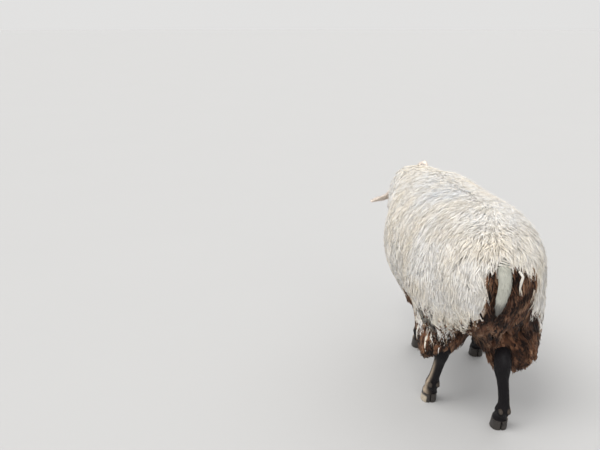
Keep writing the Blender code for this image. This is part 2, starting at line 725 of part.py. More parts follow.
def ear_pocket(side):
    """Room for an ear in the wool behind the poll: an oval tube around the whole of it."""
    _, points, opens, across = ear_frame(side)
    rings = []
    for centre, half, curve, _ in ear_sections(side):
        width, height = half * EAR_POCKET + EAR_CLEAR, curve * EAR_POCKET + EAR_CLEAR
        rings.append(oval(centre, across, opens, width, height, EAR_POCKET_SIDES))
    rings[0] = rings[0] - np.array(points) * EAR_CLEAR
    return loft("ear_pocket", rings)


def leg_space(leg, grow=0.0):
    """The part of the coat that belongs to an upper leg, made larger by grow; it ends at the middle plane."""
    side = 1 if leg.endswith("left") else -1
    low_x, high_x, top, rise, middle = HIND_SPACE if leg.startswith("hind") else FORE_SPACE
    corners = []
    for x, z_top in ((low_x, top), (high_x + grow, top + rise)):
        for y in (GAP / 2 - grow, 0.5):
            for z in (-0.5, z_top + grow):
                corners.append((x - (grow if x == low_x else 0), middle + side * y, z))
    return block(leg + "_space", corners)


def even_places(hull, style_of, seed):
    """Places spread evenly over a surface, as near to each other as the wool there grows."""
    mesh = hull.data
    points = np.array([v.co[:] for v in mesh.vertices])
    normals = np.array([v.normal[:] for v in mesh.vertices])
    corners = np.array([p.vertices[:] for p in mesh.polygons])
    a, b, c = points[corners[:, 0]], points[corners[:, 1]], points[corners[:, 2]]
    areas = np.linalg.norm(np.cross(b - a, c - a), axis=1)
    draw = np.random.default_rng(seed)
    chosen = draw.choice(len(corners), TRIED_PLACES, p=areas / areas.sum())
    u, v = draw.random((2, TRIED_PLACES, 1))
    fold = u + v > 1
    u, v = np.where(fold, 1 - u, u), np.where(fold, 1 - v, v)
    places = a[chosen] + u * (b - a)[chosen] + v * (c - a)[chosen]
    ways = (normals[corners[chosen, 0]] * (1 - u - v) + normals[corners[chosen, 1]] * u
            + normals[corners[chosen, 2]] * v)
    styles = [style_of(Vector(p), Vector(w)) for p, w in zip(places, ways)]
    spacing = np.array([style[0] if style else 0.0 for style in styles])
    away = np.where(spacing > 0, np.inf, 0.0)
    picked = []
    while True:
        ratio = np.divide(away, spacing, out=np.zeros(len(places)), where=spacing > 0)
        best = int(np.argmax(ratio))
        if ratio[best] < 1:
            return [(Vector(places[k]), Vector(ways[k]).normalized(), styles[k]) for k in picked]
        picked.append(best)
        away = np.minimum(away, np.linalg.norm(places - places[best], axis=1))


def tree_of(made):
    """What finds the nearest place on a body."""
    cage = bmesh.new()
    cage.from_mesh(made.data)
    tree = BVHTree.FromBMesh(cage)
    cage.free()
    return tree


def walk(here, out, way, step, share, hang, hull_tree):
    """One step of a clump over the coat, or freely down where it hangs: the new place, out and ahead."""
    pull = way.lerp(Vector((0, 0, -1)), hang * share)
    ahead = (pull - out * pull.dot(out) * (1 - hang * share)).normalized()
    there = here + ahead * step
    near, facing, _, _ = hull_tree.find_nearest(there)
    loose = hang * min(1.0, share * HANGS_SOONER)
    return near.lerp(there, loose), out.lerp(facing, FOLLOWS_COAT * (1 - loose)).normalized(), ahead


def clump(at, normal, way, depth, style, hull_tree):
    """One clump of wool: its root in the core, its back on the coat's outer surface, its tip at the end."""
    _, length, half, thick, hang = style
    here, out, done = at, normal, 0.0
    rings = []
    for share, wide, tall in CLUMP:
        here, out, ahead = walk(here, out, way, (share - done) * length, share, hang, hull_tree)
        done = share
        sink = depth / 2 + ROOT_DEPTH if share == 0 else min(thick * tall, depth / 2)
        across = out.cross(ahead).normalized()
        rings.append(oval(here - out * sink, out, across, thick * tall, half * wide, CLUMP_SIDES))
    here, out, _ = walk(here, out, way, (1 - done) * length, 1.0, hang, hull_tree)
    return loft("clump", rings, last=here - out * TIP_SINK)


def grow_wool(hull, core, style_of, way_of, seed):
    """Clumps and locks over a whole surface, each from the core out to the surface of the full coat."""
    hull_tree, core_tree = tree_of(hull), tree_of(core)
    draw = np.random.default_rng(seed + 1)
    grown = []
    for at, normal, style in even_places(hull, style_of, seed):
        _, _, _, half_depth = core_tree.find_nearest(at)
        way = way_of(at, normal)
        way = way - normal * way.dot(normal)
        way.rotate(Matrix.Rotation(draw.uniform(-TURN_SPREAD, TURN_SPREAD), 3, normal))
        size = draw.uniform(1 - LENGTH_SPREAD, 1 + LENGTH_SPREAD)
        own = (style[0], style[1] * size, style[2] * (0.5 + 0.5 * size), style[3], style[4])
        grown.append(clump(at, normal, way.normalized(), 2 * half_depth, own, hull_tree))
    return grown


def body_wool(at, normal):
    """Which kind of wool grows at a place of the body, or none under the tail."""
    if min((at - Vector(p)).length for p in TAIL_LINE) < TAIL_CLEAR:
        return None
    if at.z < LEG_END_BELOW_Z and normal.z < BELLY_FACES_DOWN:
        return None
    if at.x > NECK_FROM_X:
        return NECK_CLUMP
    if at.z < HAM_BELOW_Z and at.x < HIND_SPACE[1]:
        return HAM_LOCK
    if normal.z < BELLY_FACES_DOWN or at.z < BELLY_BELOW_Z:
        return BELLY_LOCK
    return FLANK_CLUMP


def body_lie(at, normal):
    """The lie of the wool: back and down, and outwards from the parting along the spine."""
    spine = np.interp(at.x, [row[0] for row in TRUNK], [row[5] for row in TRUNK])
    way = Vector(LIE) + Vector(LIE_ON_BACK) * max(normal.z, 0.0)
    if at.z < HAM_BELOW_Z:
        way += Vector(LIE_ON_LEGS)
    return way * Vector((1, 1 if at.y > spine else -1, 1))


def make_coat():
    """The whole fleece of trunk, neck and upper legs as one body."""
    hull = trunk("hull", 1.0, COAT_GRID)
    combine(hull, [upper_leg(leg, 1.0) for leg in LEGS], "UNION")
    core = trunk("coat", CORE_SHARE, CORE_GRID)
    combine(core, [upper_leg(leg, CORE_SHARE) for leg in LEGS], "UNION")
    wool = grow_wool(hull, core, body_wool, body_lie, WOOL_SEED)
    bpy.data.objects.remove(hull)
    return thin_out(keep_largest(combine(core, wool, "UNION")), COAT_KEEPS)


def poll_wool(at, normal):
    """Small clumps over the poll and the cheeks, down to the eyes."""
    place = (at - HEAD_AT).dot(head_axes()[0])
    return POLL_CLUMP if POLL_ALONG[0] < place < POLL_ALONG[1] else None


def poll_lie(at, normal):
    """The lie of the poll's wool: towards the eyes, and off the middle to the sides."""
    along, out, up = head_axes()
    side = 1 if (at - HEAD_AT).dot(out) > 0 else -1
    return along * POLL_LIE[0] + out * side * POLL_LIE[1] * max(normal.dot(up), 0.0) + up * POLL_LIE[2]


def woolly_head():
    """The head with the clumps of its poll, before eyes and mouth are cut."""
    hull, made = head_shape(1.0), head_shape(CORE_SHARE)
    wool = grow_wool(hull, made, poll_wool, poll_lie, WOOL_SEED + 7)
    bpy.data.objects.remove(hull)
    made.name = "head"
    return thin_out(keep_largest(combine(made, wool, "UNION")), HEAD_KEEPS)


def make_torso(coat):
    """The coat behind the neck's cut, without the spaces of the legs and the tail's socket."""
    made = copy_of(coat, "torso")
    cutters = [leg_space(leg, GAP) for leg in LEGS]
    cutters.append(half_space("front", *NECK_CUT, back=GAP / 2))
    cutters.append(tail(GAP))
    return keep_largest(combine(made, cutters, "DIFFERENCE"))


def make_neck(coat):
    """The coat between the neck's cut and the head's, with room for the ears' stems."""
    made = copy_of(coat, "neck")
    point, normal = NECK_CUT
    behind = half_space("behind", point, -Vector(normal), back=GAP / 2)
    front = half_space("front", *HEAD_CUT, back=GAP / 2)
    cutters = [behind, front, ear_pocket(-1), ear_pocket(1)]
    return keep_largest(combine(made, cutters, "DIFFERENCE"))


def make_upper_leg(coat, leg):
    """A thigh or a forearm in its wool, with the socket of the lower leg."""
    made = copy_of(coat, leg + ("_thigh" if leg.startswith("hind") else "_forearm"))
    combine(made, [leg_space(leg)], "INTERSECT")
    cutters = [shank(leg, GAP)]
    if leg.startswith("hind"):
        cutters.append(tail(GAP))
    return keep_largest(combine(made, cutters, "DIFFERENCE"))


def make_head(made):
    """The woolly head with lids, and then sockets, mouth line, nostrils and the cut to the neck."""
    combine(made, [lids(side) for side in (-1, 1)], "UNION")
    point, normal = HEAD_CUT
    cutters = [half_space("behind", point, -Vector(normal), back=GAP / 2), mouth_groove()]
    for side in (-1, 1):
        cutters += [eyeball("eye_socket", side, EYE_RADIUS + GAP), eye_slit(side), nostril(side)]
        cutters.append(ear("ear_socket", side, GAP))
    return keep_largest(combine(made, cutters, "DIFFERENCE"))


def build():
    """Every piece of the sheep, in its own material and standing on the origin."""
    for old in list(bpy.data.objects):
        bpy.data.objects.remove(old)
    coat = make_coat()
    pieces = [(make_torso(coat), FLEECE, 0.9), (make_neck(coat), FLEECE, 0.9),
              (make_head(woolly_head()), FACE, 0.8), (tail(), FLEECE, 0.9)]
    for side, word in ((1, "left"), (-1, "right")):
        pieces.append((ear("ear_" + word, side), EAR_SKIN, 0.8))
        pieces.append((eyeball("eye_" + word, side, EYE_RADIUS), EYE_AMBER, 0.1))
    for leg in LEGS:
        pieces.append((make_upper_leg(coat, leg), BRITCH if leg.startswith("hind") else FLEECE, 0.9))
        pieces.append((shank(leg), DARK_WOOL, 0.8))
        outward = 1 if leg.endswith("left") else -1
        pieces.append((claw(leg + "_claw_outer", leg, outward), HORN, 0.5))
        pieces.append((claw(leg + "_claw_inner", leg, -outward), HORN, 0.5))
    bpy.data.objects.remove(coat)
    stand = bpy.data.objects.new("sheep", None)
    stand.location = STANDS_AT
    bpy.context.scene.collection.objects.link(stand)
    for made, colour, roughness in pieces:
        made.parent = stand
        paint(made, colour, roughness)


build()
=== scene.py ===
"""The sheep as it looks: skin, wavy fleece, face, eyes and hooves, with studio light and camera.

The sheep faces +X, its left side is +Y, and its hooves stand on the plane z = 0. Sizes are in metres.
Body sizes repeat those of the solids. A lock is a thin closed tube of three sides that starts deep in the
coat, rises to its outer surface and runs along it in the lie of the wool, drawn to the lock in the
middle of its clump. Each vertex of the coat carries how far along its lock it is, its lock's own number and
how brown and how grey the wool is there, and the materials make their colours from these: the roots get
painted shade, and the grey is partly painted shade of the partings on the back.
"""

import math

import bmesh
import bpy
import numpy as np
from mathutils import Matrix, Vector
from mathutils.bvhtree import BVHTree
from mathutils.kdtree import KDTree

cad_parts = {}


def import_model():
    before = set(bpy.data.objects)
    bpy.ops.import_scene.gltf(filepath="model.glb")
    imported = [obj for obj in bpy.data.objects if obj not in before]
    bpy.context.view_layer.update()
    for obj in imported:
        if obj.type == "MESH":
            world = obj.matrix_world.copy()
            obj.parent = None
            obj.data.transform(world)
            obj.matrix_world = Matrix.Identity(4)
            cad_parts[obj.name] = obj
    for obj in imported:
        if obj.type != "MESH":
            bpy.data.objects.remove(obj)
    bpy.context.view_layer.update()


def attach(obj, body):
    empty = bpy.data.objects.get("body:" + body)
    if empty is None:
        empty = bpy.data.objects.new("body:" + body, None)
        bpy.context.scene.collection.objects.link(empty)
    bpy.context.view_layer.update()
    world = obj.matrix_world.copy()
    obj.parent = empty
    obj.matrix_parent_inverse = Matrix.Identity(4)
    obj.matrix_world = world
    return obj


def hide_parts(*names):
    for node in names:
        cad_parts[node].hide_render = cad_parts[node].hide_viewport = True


# Where the sheep stands, so that its middle is on the origin
STANDS_AT = Vector((0.0162, 0.0032, 0.0))

# Trunk and neck of the bare body: x, z of the ring's centre, its lean in degrees, half height, half width,
# and how far its middle is to the left
TRUNK = (
    (-0.462, 0.452, 0, 0.018, 0.018, -0.014),
    (-0.453, 0.450, 0, 0.055, 0.050, -0.014),
    (-0.430, 0.447, 0, 0.090, 0.079, -0.014),
    (-0.380, 0.445, 0, 0.114, 0.099, -0.013),
    (-0.300, 0.440, 0, 0.129, 0.110, -0.009),
    (-0.200, 0.432, 0, 0.136, 0.119, 0.001),
    (-0.080, 0.422, 0, 0.143, 0.129, 0.008),
    (0.030, 0.420, 4, 0.148, 0.122, 0.011),
    (0.100, 0.430, 12, 0.145, 0.106, 0.012),
    (0.160, 0.445, 22, 0.128, 0.087, 0.017),
    (0.215, 0.464, 18, 0.099, 0.070, 0.025),
    (0.280, 0.484, 8, 0.077, 0.058, 0.036),
    (0.340, 0.495, -8, 0.064, 0.051, 0.045),
    (0.385, 0.481, -26, 0.050, 0.044, 0.050),
)
TRUNK_GRID = (70, 72)

# Depth of the fleece over the skin: along the back, on the flanks, under the belly, and at the head end
COAT_BACK = 0.036
COAT_FLANK = 0.050
COAT_BELLY = 0.040
COAT_NAPE = 0.026
NAPE_FROM_X = 0.20
NAPE_TO_X = 0.39

# Share of that depth at which the skin lies, and how finely the skin and the coat's surface are meshed
SKIN_SHARE = 0.68
SKIN_VOXEL = 0.006
HULL_VOXEL = 0.009

# How much shallower the skin is than that share of the coat, and between which x: at the nape, at its end;
# then how far it bulges there
NAPE_SKIN_LOWER = 0.45
NAPE_SKIN_X = (0.25, 0.34)
NAPE_END_LOWER = 0.95
NAPE_END_X = (0.33, 0.37)
NAPE_END_BULGE = 0.001

# Upper legs of the bare body: share of the way along the leg's line, half depth fore and aft, half width
HAM = ((0.00, 0.088, 0.050), (0.25, 0.098, 0.056), (0.50, 0.078, 0.053), (0.70, 0.050, 0.042),
       (0.86, 0.034, 0.029), (1.00, 0.028, 0.022))
FOREARM = ((0.00, 0.060, 0.034), (0.35, 0.044, 0.030), (0.70, 0.028, 0.022), (1.00, 0.022, 0.018))
UPPER_GRID = (30, 32)

# Depth of the wool over the top and the lower end of hams and forearms
COAT_HAM = 0.048
COAT_HOCK = 0.034
COAT_FOREARM = 0.030
COAT_KNEE = 0.014

# How much farther the wool of each ham reaches on its outer and on its inner side, at shares of the way down
HAM_REACH = {
    "hind_left": ((0.30, 0.000, 0.000), (0.50, -0.020, 0.000), (0.62, -0.028, 0.000), (0.75, -0.018, 0.000),
                  (0.88, -0.004, 0.000), (1.00, 0.010, 0.000)),
    "hind_right": ((0.30, 0.000, 0.000), (0.55, 0.010, -0.006), (0.80, 0.020, -0.014), (1.00, 0.020, -0.018)),
}

# Share of the way to the hock at which the wool of a ham ends, where that is before the hock
HAM_ENDS = {"hind_right": 0.92}

# Each leg: joints as x, y, z from the top down to the coronet, then the middle of the foot on the ground
LEGS = {
    "hind_left": ((-0.345, 0.056, 0.450), (-0.225, 0.086, 0.345), (-0.280, 0.068, 0.200),
                  (-0.220, 0.076, 0.072), (-0.196, 0.079, 0.033), (-0.182, 0.079, 0.0)),
    "hind_right": ((-0.345, -0.072, 0.450), (-0.270, -0.097, 0.335), (-0.402, -0.060, 0.198),
                   (-0.392, -0.073, 0.070), (-0.372, -0.072, 0.033), (-0.358, -0.072, 0.0)),
    "fore_left": ((0.075, 0.080, 0.400), (0.055, 0.080, 0.305), (0.120, 0.058, 0.190),
                  (0.188, 0.037, 0.070), (0.211, 0.033, 0.033), (0.225, 0.033, 0.0)),
    "fore_right": ((0.075, -0.060, 0.400), (0.050, -0.088, 0.305), (0.082, -0.112, 0.186),
                   (0.106, -0.132, 0.068), (0.128, -0.137, 0.033), (0.142, -0.137, 0.0)),
}

# Lower legs: share of the way from hock or knee to the coronet, half depth, half width, shift to the back;
# then how far up into the wool they start, and their mean girth
HOCK_TO_FOOT = ((-0.30, 0.020, 0.016, 0.000), (0.00, 0.027, 0.0205, 0.006), (0.12, 0.024, 0.0195, 0.004),
                (0.28, 0.0175, 0.0150, 0.001), (0.50, 0.0160, 0.0135, 0.000), (0.68, 0.0165, 0.0145, 0.000),
                (0.78, 0.0200, 0.0185, 0.001), (0.90, 0.0165, 0.0170, 0.000), (1.00, 0.0205, 0.0200, 0.000))
KNEE_TO_FOOT = ((-0.30, 0.020, 0.017, 0.000), (0.00, 0.0215, 0.0205, 0.000), (0.12, 0.0205, 0.0190, 0.000),
                (0.28, 0.0165, 0.0150, 0.000), (0.50, 0.0150, 0.0135, 0.000), (0.68, 0.0160, 0.0145, 0.000),
                (0.78, 0.0195, 0.0185, 0.001), (0.90, 0.0165, 0.0170, 0.000), (1.00, 0.0205, 0.0200, 0.000))
SHANK_GRID = (56, 28)
SHANK_INTO_WOOL = 0.28
SHANK_GIRTH = 0.11
CORONET_SLOPE = math.radians(14)

# Claws, two to a foot: length and width on the ground and at the coronet, wear of the edge, cleft
CLAW_SOLE = (0.054, 0.0205)
CLAW_TOP = (0.043, 0.0185)
CLAW_EDGE = (0.002, 0.001)
CLEFT = 0.0026
CLAW_END_WIDTH = 0.12
CLAW_LEVELS = (0.0, 0.03, 0.10, 0.22, 0.36, 0.50, 0.64, 0.78, 0.90, 1.0)
CLAW_WEAR_UP_TO = 0.06
CLAW_CORNERS = 26
CLAW_INNER = 9

# Dewclaws: length, half thickness, root from the fetlock, way they point, and thickness along them
DEWCLAW_LENGTH = 0.015
DEWCLAW_RADIUS = 0.0058
DEWCLAW_SIDES = 14
DEWCLAW_FLAT = 0.8
DEWCLAW_TIP = 0.97
DEWCLAW_ROOT = (-0.0120, 0.0095, -0.0010)
DEWCLAW_POINTS = (-0.66, 0.10, -0.74)
DEWCLAW = ((0.0, 1.0), (0.25, 1.02), (0.5, 0.97), (0.75, 0.80), (0.9, 0.55))

# Tail: places down its middle, and half width and half thickness at shares of its length; for the skin these
# are smaller by a share. Its hair: number of tufts, length, half width, how far tips lift
TAIL_LINE = ((-0.440, -0.016, 0.490), (-0.490, -0.022, 0.480), (-0.517, -0.021, 0.448),
             (-0.520, -0.015, 0.410), (-0.515, -0.009, 0.374))
TAIL_SIZE = ((0.0, 0.017, 0.013), (0.3, 0.0185, 0.0135), (0.7, 0.0165, 0.011), (0.9, 0.0105, 0.008),
             (1.0, 0.004, 0.004))
TAIL_GRID = (40, 28)
TAIL_SKIN = 0.80
TAIL_WHITE_WITHIN = 0.022
TAIL_HAIR = (2600, 0.020, 0.0010, 0.0012)

# Head: where its axis starts behind the poll and how far it points down; then its sections:
# distance along the axis, top, bottom, half width, how much narrower the top is, depth of wool
HEAD_AT = Vector((0.367, 0.050, 0.491))
HEAD_PITCH = math.radians(54)
HEAD_YAW = math.radians(9)
HEAD_ROLL = math.radians(-19)
HEAD = (
    (-0.012, 0.018, 0.030, 0.022, 0.10, 0.016),
    (0.000, 0.031, 0.047, 0.037, 0.10, 0.016),
    (0.030, 0.042, 0.058, 0.047, 0.08, 0.015),
    (0.060, 0.046, 0.063, 0.051, 0.06, 0.009),
    (0.085, 0.043, 0.060, 0.049, 0.08, 0.004),
    (0.110, 0.037, 0.051, 0.041, 0.18, 0.001),
    (0.140, 0.031, 0.038, 0.032, 0.24, 0.000),
    (0.170, 0.026, 0.030, 0.027, 0.20, 0.000),
    (0.192, 0.022, 0.028, 0.0265, 0.10, 0.000),
    (0.204, 0.016, 0.025, 0.0235, 0.05, 0.000),
    (0.213, 0.005, 0.016, 0.013, 0.00, 0.000),
)
HEAD_GRID = (150, 96)

# Share of the wool's depth at which the skin of the head lies, and how finely it is meshed
HEAD_SKIN_SHARE = 0.25
HEAD_VOXEL = 0.0017

# Soft forms of the face in the head's frame: along, out, up, how wide, how high
FACE_FORMS = (
    (0.066, 0.034, 0.036, 0.015, 0.0045),
    (0.098, 0.046, -0.004, 0.015, 0.0030),
    (0.060, 0.048, -0.030, 0.024, 0.0040),
    (0.128, 0.034, -0.016, 0.018, 0.0020),
    (0.108, 0.036, 0.020, 0.008, -0.0030),
    (0.150, 0.024, 0.012, 0.020, -0.0015),
    (0.201, 0.020, 0.008, 0.007, 0.0030),
    (0.196, 0.023, -0.004, 0.009, 0.0015),
    (0.204, 0.012, -0.006, 0.007, 0.0016),
    (0.200, 0.008, -0.020, 0.010, 0.0020),
    (0.178, 0.022, -0.014, 0.008, 0.0012),
    (0.209, 0.000, 0.000, 0.005, -0.0016),
    (0.210, 0.010, -0.004, 0.006, 0.0022),
    (0.160, 0.000, 0.028, 0.016, 0.0018),
)

# Eyes: place of the ball along the head, out to the side and up, its radius, half axes of the pupil as shares
# of that, room in the socket, the lids and their opening, which way the eyes look
EYE_PLACE = (0.082, 0.0395, 0.016)
EYE_RADIUS = 0.0125
PUPIL = (0.44, 0.17)
SOCKET_ROOM = 0.0002
LID_RADII = (0.0172, 0.0150, 0.0150)
LID_OPENING = (0.0105, 0.0062)
EYE_LOOKS = (0.28, 0.93, 0.22)
EYE_TILT = math.radians(12)

# Mouth line: distance along the head and angle down the side of the section; groove depth and half height
MOUTH = ((0.158, -40), (0.172, -37), (0.185, -33), (0.197, -28), (0.2065, -24), (0.2115, -30))
MOUTH_FRONT = (0.2150, -0.0085)
GROOVE_DEPTH = 0.0028
GROOVE_HALF = 0.0009
NOSTRIL = (0.2085, 0.0128, 0.0050)
NOSTRIL_RADII = (0.0026, 0.0066, 0.0085)

# Ears: root in the head's own frame, length, how deep the stem is sunk and how far the tip sags, which way
# they point and open, thickness of the cup; then an outline: share of the length, half width, depth of the
# back's curve, how far the inside is hollowed
EAR_ROOT = (0.020, 0.041, 0.028)
EAR_LENGTH = 0.118
EAR_SUNK = 0.016
EAR_SAG = 0.012
EAR_POINTS = {1: (-0.19, 0.98, -0.06), -1: (-0.42, 0.72, 0.55)}
EAR_OPENS = {1: (-0.62, 0.10, 0.78), -1: (-0.90, -0.40, -0.17)}
EAR_WALL = 0.0030
EAR = ((0.00, 0.0085, 0.0085, 0.0), (0.26, 0.0115, 0.0095, 0.0), (0.40, 0.0200, 0.0135, 0.75),
       (0.52, 0.0235, 0.0135, 1.0), (0.66, 0.0222, 0.0110, 1.0), (0.82, 0.0155, 0.0070, 1.0),
       (0.94, 0.0075, 0.0030, 1.0), (1.00, 0.0022, 0.0018, 0.9))
EAR_RINGS = 44
EAR_ACROSS = 9

# Wool: share of the way between root and tip, then the lock's width and thickness there as shares of its own
# sizes; the same for tufts, and how flat these are; rings, those that short locks keep, and sides of a lock;
# how far fibres are apart from lock to lock, and the size of a lock's patch of the unwrap
LOCK = ((0.00, 0.80, 0.80), (0.16, 0.95, 1.00), (0.32, 1.00, 1.00), (0.47, 0.96, 0.96), (0.61, 0.80, 0.84),
        (0.74, 0.60, 0.66), (0.87, 0.36, 0.42))
TUFT = ((0.00, 0.80, 0.90), (0.45, 1.00, 1.00))
TUFT_FLAT = 0.6
LOCK_STEPS = [row[0] for row in LOCK] + [1.0]
SHORT_LOCK_RINGS = (0, 2, 4, 6, 7)
LOCK_SIDES = 3
FIBRES_APART = 40
PATCH = 0.003

# How much the shading of locks leans towards the outside of the coat, which makes it look soft
NORMALS_LEAN_OUT = 1.0

# Kinds of lock: length, half width, half thickness, how far the tip hangs free, height and length of a wave,
# how strongly a clump draws its locks together, how far tips lift; locks longer than the last number hang
FLANK = (0.052, 0.0021, 0.0015, 0.10, 0.0027, 0.013, 0.12, 0.005)
BACK = (0.046, 0.0018, 0.0013, 0.00, 0.0021, 0.012, 0.06, 0.004)
NECK = (0.046, 0.0019, 0.0014, 0.05, 0.0024, 0.012, 0.08, 0.004)
HAM_WOOL = (0.092, 0.0034, 0.0023, 0.80, 0.0062, 0.032, 0.78, 0.007)
BELLY = (0.058, 0.0029, 0.0020, 0.80, 0.0030, 0.022, 0.26, 0.003)
FOREARM_WOOL = (0.030, 0.0020, 0.0014, 0.50, 0.0010, 0.016, 0.10, 0.001)
POLL_WOOL = (0.027, 0.00082, 0.00066, 0.00, 0.0026, 0.0125, 0.00, 0.004)
HANGING_FROM = 0.068

# Spacing of locks and clumps, and how much sparser or denser they are on the thighs and on the spine
WOOL_SPACING = 0.0049
CLUMP_SPACING = 0.018
THIGH_SPARSER = 0.42
CLUMPS_SPARSER = 0.38
SPINE_DENSER = 0.5

# How much shorter locks are above the tail, between the hams and low on the right thigh
LOCKS_SHORTER = (0.5, 0.6, 0.28)

# Depth of the roots, over how much depth the tips are spread, how far the whole coat sinks, share of a lock
# at which it has risen to its place, how much lower and between which x the fleece of the nape is, how far
# locks, clumps and wool on the spine turn at random, most triangles of a piece, line of the loose lock
ROOT_DEPTH = 0.015
LEVELS = 0.005
COAT_SINKS = 0.002
RISEN_AT = 0.30
NAPE_LOWER = 0.009
NAPE_LOWER_X = (0.29, 0.35)
LOCK_TURN = math.radians(9)
CLUMP_TURN = math.radians(13)
SPINE_TURN = math.radians(22)
WOOL_SEED = 11
PIECE_TRIANGLES = 190000
LOOSE_LOCK = ((-0.475, -0.052, 0.474), (-0.512, -0.060, 0.462), (-0.514, -0.062, 0.436),
              (-0.508, -0.064, 0.408))

# Around the tail: bare skin, room that locks leave it, and the part of the coat that is combed aside, as
# the places before, beside and above which it lies
TAIL_BARE = 0.017
TAIL_ROOM = 0.021
TAIL_ZONE = (-0.44, 0.06, 0.33)

# How much higher the brown of legs and belly reaches under the locks than at their tips
BROWN_UNDER = 0.060

# Under the locks, short broad tufts fill the coat; over them thin single strands stand off it: spacing,
# length, half width, depth of the root under the outer surface, how far the tip rises, spread of directions,
# how much shallower they are on the back, and how much higher brown reaches
SHORT_WOOL = {"under_wool": (0.0112, 0.030, 0.0055, 0.0150, 0.004, 0.20, 0.15, BROWN_UNDER),
              "strands": (0.0120, 0.034, 0.0006, 0.0040, 0.0048, 0.40, 0.45, 0.0)}
TIPS_OFF = 0.005

# Short hair of the lower legs: spacing, length, half width, how far tips lift. On the face the length is
# followed by how much shorter it is at the muzzle, and on the ears, which give a number of tufts instead of
# the spacing, by how much longer it is at the rim
LEG_HAIR = (0.0040, 0.0110, 0.0008, 0.0010)
FACE_HAIR = (0.0026, 0.0075, 0.0035, 0.00048, 0.0005)
EAR_HAIR = (1900, 0.006, 0.006, 0.00045, 0.0012)

# How far roots on the ears are scattered, and the bare places around eye and nostril
EAR_JITTER = 0.0009
BARE_EYE = (0.011, 0.0075)
BARE_NOSE = 0.0085

# Wool of the poll: how far down the head it grows, which share of the places, and how deep it is; then the
# wool behind it: name, how far it points back, length
POLL_ENDS = 0.074
POLL_SHARE = 0.76
POLL_DEPTH = 0.010
CROWN_WOOL = (("crown_wool_back", 1.0, 0.034), ("crown_wool_front", -0.6, 0.024))
CROWN_HALF = 0.0015

# Lie of the wool, to the back, outwards and up, with what is added on top of the back and low on the legs
LIE = (-0.16, 0.15, -1.0)
LIE_ON_BACK = (-0.10, 1.0, -0.1)
LIE_ON_LEGS = (-0.05, 0.0, 0.0)

# Where the wool of the thighs begins, what parts the hams, and how wide the parting and the crossing are
HAM_BELOW_Z = 0.375
HAM_BEFORE_X = -0.115
HAMS_PART_AT_Y = -0.012
PARTING_WIDTH = 0.035
CROSSING_WIDTH = 0.024

# Brown wool behind: height, and how far from the middle of the tail it reaches to the left and right there
BRITCH = ((0.16, 0.130, 0.175), (0.24, 0.080, 0.160), (0.30, 0.055, 0.140), (0.335, 0.040, 0.110),
          (0.36, 0.034, 0.088), (0.41, 0.034, 0.084), (0.445, 0.034, 0.080), (0.465, 0.024, 0.062),
          (0.480, 0.000, 0.000))
BRITCH_MIDDLE_Y = -0.018

# Brown tips of the locks: size of the waves along their edge, how ragged that is, and heights and x between
# which they turn brown, on the thighs, behind the forearms and under the belly
TIPS_EDGE = 0.020
TIPS_UNEVEN = 0.020
THIGH_TIPS = ((0.285, 0.205), (-0.08, -0.16))
CHEST_TIPS = ((0.275, 0.235), (-0.06, -0.02))
BELLY_TIPS = ((0.300, 0.268), (-0.24, -0.17))

# Pale stripe of each lower leg: turn from its outer side, half width, how far down it starts
LEG_STRIPES = {"hind_left": (-0.035, 0.34, 0.30), "hind_right": (-0.02, 0.16, 0.25),
               "fore_left": (0.08, 0.28, 0.25), "fore_right": (0.08, 0.24, 0.25)}

# Unwrap of the skin: tiles as left edge, lower edge, width and height; then where the tiles of the legs
# begin: x from and to, below which z, and what y parts left and right
TILES = {"trunk": (0.01, 0.01, 0.60, 0.98), "hind_left": (0.63, 0.01, 0.17, 0.36),
         "hind_right": (0.82, 0.01, 0.17, 0.36), "fore_left": (0.63, 0.39, 0.17, 0.20),
         "fore_right": (0.82, 0.39, 0.17, 0.20), "head": (0.63, 0.61, 0.17, 0.37),
         "tail": (0.82, 0.61, 0.17, 0.12), "ear_left": (0.82, 0.75, 0.08, 0.10),
         "ear_right": (0.91, 0.75, 0.08, 0.10)}
LEG_ZONES = {"hind": (-1.0, HAM_BEFORE_X, 0.36, HAMS_PART_AT_Y), "fore": (-0.045, 0.172, 0.30, 0.003)}

SIDES = ((1, "left"), (-1, "right"))

# Colours, linear
IVORY = (0.95, 0.90, 0.83)
CREAM = (0.94, 0.84, 0.70)
# Grey on top of the back: partly the wool's own, partly painted shade of the partings
GREY_AND_SHADED_WOOL = (0.70, 0.72, 0.75)
RUST = (0.150, 0.068, 0.038)
TAN = (0.42, 0.28, 0.18)
RUST_PALE = (0.31, 0.17, 0.10)
BROWN = (0.012, 0.006, 0.0045)
LEG_DARK = (0.0065, 0.0055, 0.0065)
LEG_TAN = (0.46, 0.37, 0.28)
FAWN = (0.36, 0.27, 0.195)
FACE_PALE = (0.70, 0.61, 0.50)
MUZZLE_DARK = (0.050, 0.037, 0.033)
TAIL_WHITE = (0.35, 0.35, 0.31)
# Grey of the tail's tip, also used as painted shade down its right side
TAIL_GREY_AND_SHADE = (0.11, 0.105, 0.10)
EAR_PALE = (0.88, 0.79, 0.71)
EAR_INSIDE = (0.085, 0.052, 0.046)
HORN = (0.028, 0.024, 0.021)
HORN_PALE = (0.55, 0.47, 0.36)
FLOOR = (0.455, 0.455, 0.455)


